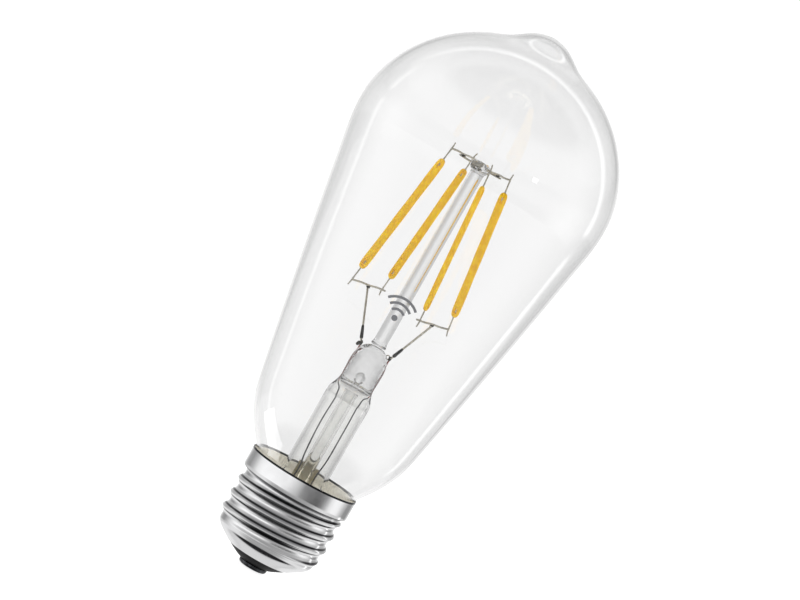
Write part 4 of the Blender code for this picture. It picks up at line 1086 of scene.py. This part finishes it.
def blended(tree, share, first, second):
    # from the first colour to the second as the share rises
    made = add(tree, "ShaderNodeMix", {"data_type": "RGBA"}, {0: share, 6: first})
    if isinstance(second, tuple):
        made.inputs[7].default_value = second
    else:
        tree.links.new(second, made.inputs[7])
    return made.outputs[2]


def times(tree, first, second):
    made = add(tree, "ShaderNodeMath", {"operation": "MULTIPLY"}, {0: first})
    if isinstance(second, float):
        made.inputs[1].default_value = second
    else:
        tree.links.new(second, made.inputs[1])
    return made.outputs[0]


def studioWalls():
    # pale walls all round the lamp: grey flags and white panels by compass angle, dim above and black below
    world = bpy.data.worlds.new("studio")
    world.use_nodes = True
    tree = world.node_tree
    tree.nodes.clear()
    coords = add(tree, "ShaderNodeTexCoord")
    x, y, z = add(tree, "ShaderNodeSeparateXYZ", {}, {0: coords.outputs["Generated"]}).outputs
    share = angleShare(tree, x, times(tree, y, -1.0))
    # the flags for the cap's skirt and the grey in front are only in reflections, never behind the glass
    rays = add(tree, "ShaderNodeLightPath").outputs
    reflected = ranged(tree, rays["Is Transmission Ray"], 0.0, 1.0, 1.0, 0.0)
    flags = times(tree, between(tree, z, "flagTop"), reflected)
    walls = blended(tree, flags, compass(tree, share, "upper"), compass(tree, share, "level"))
    walls = blended(tree, between(tree, z, "flagFoot"), walls, compass(tree, share, "lower"))
    walls = blended(tree, between(tree, z, "lowerFoot"), walls, greys["foot"])
    front = times(tree, between(tree, y, "front"), between(tree, z, "frontTop"))
    walls = blended(tree, times(tree, front, reflected), walls, greys["front"])
    walls = blended(tree, between(tree, z, "ground"), walls, greys["ground"])
    patch = times(tree, between(tree, z, "patchTop"), between(tree, y, "patchBack"))
    walls = blended(tree, patch, walls, greys["patch"])
    walls = blended(tree, times(tree, between(tree, z, "dim"), 0.3), walls, greys["dim"])
    walls = blended(tree, between(tree, z, "ceiling"), walls, greys["ceiling"])
    # an arched strip behind the lamp on its right, which draws the bright line inside the glass's edge
    strip = times(tree, between(tree, y, "stripNear"), between(tree, y, "stripFar"))
    off, on = grey(0), grey(0.75)
    reach = ramp(tree, angleShare(tree, z, x), [
        (0.4, off), (0.44, on), (0.458, on), (0.466, off), (0.478, off), (0.486, on), (0.78, on), (0.93, off),
    ])
    lit = add(tree, "ShaderNodeVectorMath", {"operation": "ADD"}, {0: walls, 1: times(tree, strip, reach)})
    strength = ranged(tree, rays["Diffuse Depth"], 0.0, 1.0, studio["brightness"], studio["fill"])
    room = add(tree, "ShaderNodeBackground", {}, {"Color": lit.outputs[0], "Strength": strength})
    plain = add(tree, "ShaderNodeBackground", {"Color": grey(1), "Strength": studio["background"]})
    choice = {0: rays["Is Camera Ray"], 1: room.outputs[0], 2: plain.outputs[0]}
    seen = add(tree, "ShaderNodeMixShader", {}, choice)
    add(tree, "ShaderNodeOutputWorld", {}, {0: seen.outputs[0]})
    bpy.context.scene.world = world


glassOnly = bpy.data.collections.new("glassOnly")
glassOnly.objects.link(envelope)


def softbox(name, direction, size, power):
    # a rectangular lamp that lights the envelope only, and is seen in its reflections
    data = bpy.data.lights.new(name, "AREA")
    data.shape = "RECTANGLE"
    data.size, data.size_y = size
    data.energy = power
    lamp = bpy.data.objects.new(name, data)
    direction = Vector(direction).normalized()
    spot = studio["centre"] + direction * studio["lampDistance"]
    lamp.matrix_world = Matrix.Translation(spot) @ direction.to_track_quat("Z", "Y").to_matrix().to_4x4()
    lamp.visible_camera = False
    lamp.visible_transmission = False
    lamp.light_linking.receiver_collection = glassOnly
    bpy.context.scene.collection.objects.link(lamp)


def paleFloor():
    # a painted floor that is nearly as bright as the background, with a fine roller grain
    bm = bmesh.new()
    bmesh.ops.create_grid(bm, x_segments=2, y_segments=2, size=studio["floorSize"])
    bmesh.ops.translate(bm, vec=(0, 0, -studio["floorDrop"]), verts=bm.verts)
    material, tree, shader, coords = newMaterial("palePaint", {
        "Base Color": fromHex("#C8C8C7"),
        "Roughness": 0.8,
        "Emission Color": (1, 1, 1, 1),
        "Emission Strength": 0.85,
    })
    connect(tree, shader, {"Normal": bump(tree, noise(tree, coords, 300.0, 2.0), 0.05, 0.2)})
    floor = finished("floor", bm, material)
    floor.visible_glossy = False
    floor.visible_transmission = False


camera()
studioWalls()
softbox("lowWindow", (-0.647, 0.237, -0.727), (0.5, 0.6), 2.4)
softbox("highSpot", (0.679, -0.681, 0.27), (0.1, 0.08), 0.5)
paleFloor()
scene = bpy.context.scene
scene.view_settings.view_transform = "Standard"
scene.cycles.max_bounces = 32
scene.cycles.transmission_bounces = 28
scene.cycles.glossy_bounces = 8
scene.cycles.transparent_max_bounces = 16
print("studio made")
